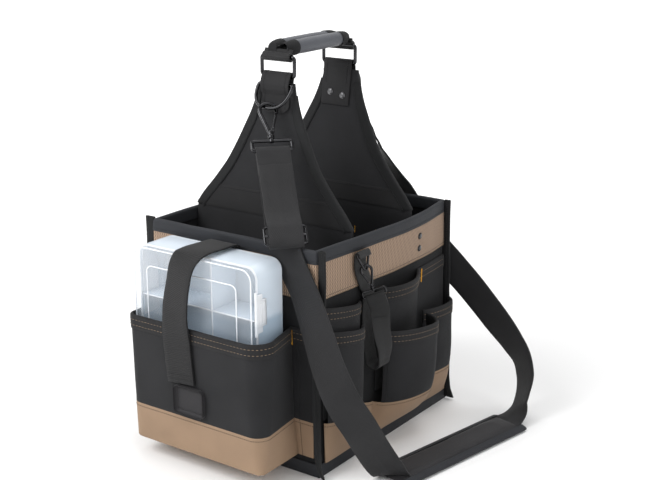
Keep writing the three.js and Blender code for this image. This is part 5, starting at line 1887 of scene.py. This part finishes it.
@dataclass
class ShoulderStrap:
    """The shoulder strap with its hooks, slider and padded rest."""

    width: float = 35.0
    thickness: float = 2.0
    front_route: Table = (
        (64, -118.5, 249.5, 0.35, -0.75, 0.55), (70, -125.2, 241.4, 0.15, -0.9, 0.4),
        (74, -126, 232, 0.05, -1, 0.1), (83, -126.5, 217, 0, -1, 0), (97, -129, 197, 0, -1, 0),
        (118.5, -136.5, 161, 0.1, -1, 0.1), (133, -139, 129, 0.25, -0.95, 0.15),
        (149, -138, 98, 0.45, -0.85, 0.3), (160.5, -127, 71, 0.58, -0.75, 0.3),
        (165.5, -111, 43, 0.6, -0.68, 0.1), (169.5, -99.5, 24, 0.56, -0.74, -0.05),
        (173, -91.5, 12.5, 0.42, -0.82, -0.2), (173.5, -85, 6.4, 0.3, -0.65, -0.6),
        (172.5, -78, 3.8, 0.12, -0.3, -0.95), (171.5, -70, 3.4, 0, 0, -1))
    rear_route: Table = (
        (37, 117, 264, 0.25, 0.8, 0.5), (46, 124, 243.5, -0.1, 0.8, 0.6), (50, 127, 234, 0, 1, 0.2),
        (59, 128, 219, 0, 1, 0), (82, 130, 189, -0.1, 1, 0), (112, 131.5, 161, -0.1, 1, -0.1),
        (136, 132, 140, 0, 1, -0.1), (151, 132.5, 125.5, 0.1, 1, -0.15), (169.5, 134, 106, 0.2, 1, -0.2),
        (188.7, 136, 84.2, 0.4, 0.9, -0.2), (201.7, 137, 65.6, 0.5, 0.85, -0.2),
        (207.2, 135.5, 48.3, 0.55, 0.8, -0.25), (208.8, 130, 31, 0.66, 0.62, -0.36),
        (209.2, 121, 17.5, 0.66, 0.4, -0.6), (209, 110.5, 9.2, 0.35, 0.2, -0.92),
        (207.2, 101, 5.6, 0.1, 0.05, -1), (205, 92, 3.8, 0, 0, -1))
    crossings: tuple[Vector, Vector] = field(default_factory=lambda: (vec(72, -126, 240), vec(48, 126, 241)))
    pad_start: Vector = field(default_factory=lambda: vec(172.4, -90.4, 0))
    pad_stop: Vector = field(default_factory=lambda: vec(209, 103, 0))
    pad_width: float = 46.0
    pad_height: float = 6.6
    slider_drop: float = 99.0
    slider_out: float = 10.6
    slider_half: Pair = (20.8, 9.4)

    def build(self, carrier: Carrier) -> None:
        """Builds both halves of the strap and the pad between them."""
        for end, crossing, route, gate in zip(ENDS, self.crossings, (self.front_route, self.rear_route),
                                              (Body.GATE_FRONT, Body.GATE_REAR)):
            hook = self.hook_frame(carrier, end, crossing)
            SnapHook(hook, f"strap_hook_{end.name}").build(gate, split=True)
            stations = loop_stations(hook.bar, hook.up, hook.out, 3.2, 1.4, 26.0)
            ribbon = Ribbon(stations + routed(route), self.width, self.thickness)
            ribbon.build(f"strap_{end.name}_webbing", TWILL, [f"strap_{end.name}"], 190, "hung",
                         [f"strap_hook_{end.name}_loop"])
            self.sew_fold(end, ribbon)
            if end.name == "front":
                self.build_slider(hook)
        self.build_pad()

    def hook_frame(self, carrier: Carrier, end: End, crossing: Vector) -> HookFrame:
        """The frame of the hook that hangs in one D ring, in line with the strap's pull."""
        seat = carrier.d_point(end, 0.0, carrier.d_drop)
        pull = (crossing - seat).normalized()
        across = vec(-pull.y, pull.x, 0)
        across *= -end.out * math.copysign(1.0, across.x)
        return HookFrame.between(seat, seat + pull, across, 1.0)

    def sew_fold(self, end: End, ribbon: Ribbon) -> None:
        """Sews the folded end of the webbing below the loop."""
        flat = ribbon.surface()
        rows = []
        for down in (58.0, 62.0):
            rows.append(row_on(flat, down / ribbon.length, self.thickness / 2 + 0.1, 20, 0.08, 0.92))
        FINE_STITCH.sew(f"strap_{end.name}_stitches", rows)

    def build_slider(self, hook: HookFrame) -> None:
        """Bends the three-bar slider from round wire and lays the webbing's front layer over it."""
        side, up, out = hook.side, hook.up, hook.out
        middle = hook.bar - up * self.slider_drop + out * self.slider_out
        frame_path = [middle + side * x + up * z for x, z in rounded(*self.slider_half, 3.0, 6)]
        parts = [wire("slider_frame", frame_path, 1.4, closed=True),
                 wire("slider_bar", [middle - side * 20.4, middle + side * 20.4], 1.5)]
        enter(join("strap_slider_bars", parts), NICKEL, "strap_slider")
        rows = ((-18.0, 3.9), (-27.0, 4.4), (-50.0, 5.6), (-72.0, 7.4), (-80.0, 9.8), (-86.0, 12.2),
                (-90.0, 13.4), (-99.0, 13.7), (-106.0, 13.4), (-109.6, 12.2), (-111.2, 10.2), (-110.8, 8.4))
        stations = []
        for index, (height, off) in enumerate(rows):
            near = rows[max(0, index - 1)], rows[min(len(rows) - 1, index + 1)]
            run = up * (near[1][0] - near[0][0]) + out * (near[1][1] - near[0][1])
            face = side.cross(run.normalized()) * -1.0
            stations.append(Station(hook.bar + up * height + out * off, face))
        ribbon = Ribbon(stations, self.width - 0.6, 1.8)
        ribbon.build("strap_front_layer", TWILL, [], 70, "folded", ["strap_slider_bars"])

    def build_pad(self) -> None:
        """Swells the shoulder pad from a flat block and binds its long edges."""
        along = (self.pad_stop - self.pad_start).normalized()
        across = vec(along.y, -along.x, 0)
        length = (self.pad_stop - self.pad_start).length
        half, high = self.pad_width / 2 - 1.2, self.pad_height
        start_clean()
        bpy.ops.mesh.primitive_cube_add(size=1.0, location=(0, 0, high * 0.5 * MM))
        piece = name_piece(bpy.context.object, "shoulder_pad_cloth")
        piece.scale = (2 * half * MM, length * MM, (high - 2.4) * MM)
        bpy.ops.object.transform_apply(location=True, rotation=True, scale=True)
        round_all(2.6)
        modify(piece, "REMESH", mode="VOXEL", voxel_size=3.2 * MM)
        self.swell(piece)
        for vertex in piece.data.vertices:
            x, y, z = vertex.co / MM
            rim = clamp(min(half - abs(x), length / 2 - abs(y)) / 8.0)
            seam = 1.0 - 0.2 * math.exp(-((half - 6.5 - abs(x)) / 1.6) ** 2)
            height = mix(0.42, 1.0, rim ** 0.8) * seam * (1.0 + ripple(vec(x, y, 0), 40, 0.06))
            vertex.co.z = max(0.0004, (high * 0.5 + (z - high * 0.5) * height) * MM)
        modify(piece, "SUBSURF", levels=1, render_levels=1)
        middle = (self.pad_start + self.pad_stop) * 0.5
        turn = Matrix((across, along, vec(0, 0, 1))).transposed().to_4x4()
        place = Matrix.Translation(middle * MM) @ turn
        piece.data.transform(place)
        smooth(piece, 60)
        enter(piece, PAD_CLOTH, "shoulder_pad")
        self.trim_pad(middle, along, across, length, half)

    @staticmethod
    def swell(piece: Piece) -> None:
        """Fills the pad by cloth pressure, with no point moved further than 3 mm."""
        start = [vertex.co.copy() for vertex in piece.data.vertices]
        choose(piece)
        modifier = piece.modifiers.new("Fill", "CLOTH")
        modifier.settings.use_pressure = True
        modifier.settings.uniform_pressure_force = 4.0
        modifier.settings.effector_weights.gravity = 0.0
        modifier.settings.quality = 5
        scene = bpy.context.scene
        for step in range(1, 17):
            scene.frame_set(step)
        bpy.ops.object.modifier_apply(modifier=modifier.name)
        for vertex, before in zip(piece.data.vertices, start):
            shift = vertex.co - before
            if shift.length > 3.0 * MM:
                vertex.co = before + shift.normalized() * 3.0 * MM
        scene.frame_set(1)

    def trim_pad(self, middle: Vector, along: Vector, across: Vector, length: float, half: float) -> None:
        """Binds the pad's long edges and sews a line inside each."""
        rows = []
        start, stop = 3 - length / 2, length / 2 - 3
        top = vec(0, 0, self.pad_height - 0.3)
        for sign in (-1, 1):

            def folded(turn: float, run: float) -> Vector:
                """The tape's inner face round one long edge."""
                turn, angle, leg = fold_over(turn, 0.35)
                reach = half - 0.2 + 1.4 * math.cos(angle) - leg * 5.0
                lift = math.copysign(mix(1.5, 2.9, leg) * math.sin(angle), turn)
                z = max(0.5, self.pad_height * 0.5 + lift)
                return middle + across * (sign * reach) + along * mix(start, stop, run) + vec(0, 0, z)

            turned = folded if sign < 0 else flipped(folded)
            piece = cloth(f"pad_tape_{'inner' if sign < 0 else 'outer'}", turned, (18, 60), (20, length), 0.5)
            enter(piece, TAPE)
            side = middle + across * (sign * (half - 6.8))
            rows.append([(side + along * mix(start + 2, stop - 1, step / 60) + top, vec(0, 0, 1))
                         for step in range(61)])
        PAD_STITCH.sew("pad_stitches", rows)


@dataclass
class CaseStrap:
    """The webbing that holds the clear case down, sewn to the wall and the pocket."""

    width: float = 35.0
    rows: Table = (
        (-2, -125.5, 203, 0, 1, 0), (-2, -125.5, 223, 0, 1, 0), (-2, -126.4, 228.5, 0, 0.8, 0.6),
        (-2, -130, 231.2, 0, 0.2, 1), (-3, -150, 232.4, 0, 0, 1), (-4, -174, 232.6, 0, -0.2, 1),
        (-5, -184, 230, 0, -0.6, 0.8), (-7.5, -189.5, 222, -0.15, -1, 0.3), (-11, -193, 200, -0.18, -1, 0.1),
        (-15.5, -193.5, 170, -0.1, -1, 0), (-16, -191.7, 140, 0.02, -1, 0), (-12.5, -190.7, 96, 0, -1, 0))

    def build(self) -> None:
        """Lays the webbing and sews its lower end."""
        ribbon = Ribbon(routed(self.rows), self.width, 2.0)
        ribbon.build("case_strap_webbing", RIBBED, ["case_strap"], 130, "stretched",
                     ["case_tray_clear", "case_lid_clear"])
        flat = ribbon.surface()
        rows = [row_on(flat, 1.0 - up / ribbon.length, 1.1, 24, 0.06, 0.94) for up in (5.0, 9.5)]
        FINE_STITCH.sew("case_strap_stitches", rows)


@dataclass
class TapeLoop:
    """The tape loop on the right wall: rolled top, wire triangle, hanging loop and small hook."""

    width: float = 20.0
    thickness: float = 1.6
    y: float = -57.0
    roll: Pair = (6.6, 222.5)
    triangle: tuple[float, float, float, float] = (10.5, 207.0, 10.7, 1.3)
    eye: tuple[float, float, float] = (17.0, -49.0, 177.0)
    eye_half: float = 19.0
    scale: float = 0.634
    down: Table = (
        (3.9, -57, 209, 1, 0), (3.9, -50.5, 193, 1, 0), (3.8, -43.6, 180, 1, 0), (3.6, -43, 150, 1, 0),
        (4.5, -43, 125, 1, 0), (8, -43, 110, 1, 0))
    bend: tuple[float, float, float, float] = (16.5, -43.0, 107.0, 8.6)
    back_up: Table = (
        (25, -43, 108, -1, 0), (26, -43.5, 120, -1, 0.2), (23, -45.5, 140, -0.9, 0.5))

    def build(self) -> None:
        """Builds the hook, the triangle and the tape through both."""
        half, low, off, radius = self.triangle
        top = FORM.side(self.y, self.roll[1], self.roll[0])
        bottom = FORM.side(self.y, low, off)
        eye = FORM.side(self.eye[1], self.eye[2], self.eye[0])
        hook = HookFrame.between(bottom, eye, vec(-0.8, -0.6, 0), self.scale)
        SnapHook(hook, "tape_hook", loop_half=self.eye_half).build(Body.GATE_TAPE, split=False)
        self.build_triangle(top, bottom, half, radius)
        self.build_tape(hook, top, radius)

    def build_triangle(self, top: Vector, bottom: Vector, half: float, radius: float) -> None:
        """Bends the wire triangle with rounded corners."""
        corners = [top - vec(0, half, 0), top + vec(0, half, 0), bottom + vec(0, 3, 0), bottom - vec(0, 3, 0)]
        path = []
        for index, corner in enumerate(corners):
            before, after = corners[index - 1], corners[(index + 1) % 4]
            start = corner + (before - corner).normalized() * 2.0
            stop = corner + (after - corner).normalized() * 2.0
            for step in range(6):
                share = step / 5
                path.append(start.lerp(corner, share).lerp(corner.lerp(stop, share), share))
        enter(wire("tape_ring_wire", path, radius, closed=True), NICKEL, "tape_ring")

    @staticmethod
    def beside_wall(rows: Table) -> list[Station]:
        """Stations from rows of stand-off, place along the wall, height and facing."""
        return [Station(FORM.side(y, z, off), vec(fx, fy, 0)) for off, y, z, fx, fy in rows]

    def build_tape(self, hook: HookFrame, top: Vector, radius: float) -> None:
        """Routes the tape over the triangle, down the wall, and up to the hook's eye."""
        turn = radius + 0.3 + 0.9
        stations = [Station(top + vec(turn + 0.9, 0, -3), vec(-1, 0, 0))]
        stations += bent(top, vec(1, 0, 0), vec(0, 0, 1), turn, [step / 6 for step in range(7)], -1.0)
        stations += self.beside_wall(self.down)
        off, y, z, reach = self.bend
        turns = [step / 6 for step in range(1, 6)]
        stations += bent(FORM.side(y, z, off), vec(-1, 0, 0), vec(0, 0, -1), reach, turns, -1.0)
        stations += self.beside_wall(self.back_up)
        fold = loop_stations(hook.bar, hook.up, hook.out, 1.8 * self.scale + 1.2, 1.2, 14.0)
        stations += [Station(station.at, -station.face) for station in fold]
        ribbon = Ribbon(stations, self.width, self.thickness)
        ribbon.build("tape_strap_webbing", NARROW, ["tape_strap"], 200, "hung",
                     ["tape_ring_wire", "tape_hook_body"])
        seam = row_on(ribbon.surface(), 1.0 - 45.0 / ribbon.length, 0.0, 16, 0.1, 0.9)
        row = [(point - face * 1.8, -face) for point, face in seam]
        FINE_STITCH.sew("tape_strap_stitches", [row])


@dataclass
class Studio:
    """The camera, the pale floor and the soft lights."""

    azimuth: float = math.radians(36.73)
    elevation: float = math.radians(15.87)
    distance: float = 1378.16
    roll: float = math.radians(-0.53)
    target: Vector = field(default_factory=lambda: vec(0, 0, 220))
    lens: float = 69.88
    shift: Pair = (0.0334, -0.0234)
    ambient: float = 0.55
    glow: float = 0.7

    def build(self) -> None:
        """Sets the camera, the floor, the world and the lights."""
        self.build_camera()
        self.build_floor()
        self.build_world()
        self.light("key light", vec(-900, -1600, 1700), 1.5, 46.0)
        self.light("fill light", vec(1900, -700, 1200), 1.8, 12.0)
        self.light("top light", vec(100, 500, 2300), 1.6, 22.0)

    def build_camera(self) -> None:
        """Places the camera at the photograph's angle."""
        level = math.cos(self.elevation)
        back = vec(math.sin(self.azimuth) * level, -math.cos(self.azimuth) * level, math.sin(self.elevation))
        right = vec(math.cos(self.azimuth), math.sin(self.azimuth), 0)
        up = back.cross(right)
        turned = right * math.cos(self.roll) + up * math.sin(self.roll)
        upright = up * math.cos(self.roll) - right * math.sin(self.roll)
        data = bpy.data.cameras.new("photo camera")
        data.lens = self.lens
        data.shift_x, data.shift_y = self.shift
        camera = bpy.data.objects.new("photo camera", data)
        bpy.context.collection.objects.link(camera)
        turn = Matrix((turned, upright, back)).transposed().to_4x4()
        camera.matrix_world = Matrix.Translation((self.target + back * self.distance) * MM) @ turn
        bpy.context.scene.camera = camera

    def build_floor(self) -> None:
        """Lays the pale floor, which brightens to white away from the bag."""
        start_clean()
        bpy.ops.mesh.primitive_plane_add(size=14.0)
        floor = name_piece(bpy.context.object, "floor")
        nodes = Nodes("pale floor")
        tone = nodes.ramp(nodes.mottle(0.7), (0.92, 0.92, 0.92), (0.95, 0.95, 0.95))
        nodes.surface(Base_Color=tone, Roughness=0.8)
        place = nodes.add("ShaderNodeTexCoord").outputs["Object"]
        away = nodes.add("ShaderNodeVectorMath", place, operation="LENGTH").outputs["Value"]
        glow = nodes.add("ShaderNodeMapRange", away, 0.5, 1.6, 0.0, self.glow,
                         interpolation_type="SMOOTHSTEP").outputs[0]
        nodes.surface(Emission_Color=(1.0, 1.0, 1.0, 1.0), Emission_Strength=glow)
        floor.data.materials.append(nodes.material)

    def build_world(self) -> None:
        """Surrounds the scene with white."""
        world = bpy.data.worlds.new("white room")
        world.use_nodes = True
        nodes, links = world.node_tree.nodes, world.node_tree.links
        background = nodes["Background"]
        background.inputs["Color"].default_value = (1.0, 1.0, 1.0, 1.0)
        seen = nodes.new("ShaderNodeLightPath").outputs["Is Camera Ray"]
        strength = nodes.new("ShaderNodeMath")
        strength.operation = "MULTIPLY_ADD"
        strength.inputs[1].default_value = 1.0 - self.ambient
        strength.inputs[2].default_value = self.ambient
        links.new(seen, strength.inputs[0])
        links.new(strength.outputs[0], background.inputs["Strength"])
        bpy.context.scene.world = world
        bpy.context.scene.view_settings.view_transform = "Standard"

    def light(self, name: str, place: Vector, size: float, power: float) -> None:
        """Adds one soft light that looks at the bag."""
        start_clean()
        aim = (vec(0, 0, 180) - place).to_track_quat("-Z", "Y").to_euler()
        bpy.ops.object.light_add(type="AREA", location=place * MM, rotation=aim)
        lamp = bpy.context.object
        lamp.name = name
        lamp.data.size = size
        lamp.data.energy = power


def main() -> None:
    """Builds the studio and the bag's sub-assemblies in order."""
    logging.basicConfig(level=logging.INFO, format="%(name)s %(message)s")
    Studio().build()
    BagShell().build()
    SidePockets().build()
    CasePocket().build()
    PocketPatch().build()
    ClearCase().build()
    CaseStrap().build()
    carrier = Carrier()
    carrier.build()
    ShoulderStrap().build(carrier)
    TapeLoop().build()


if __name__ == "__main__":
    main()
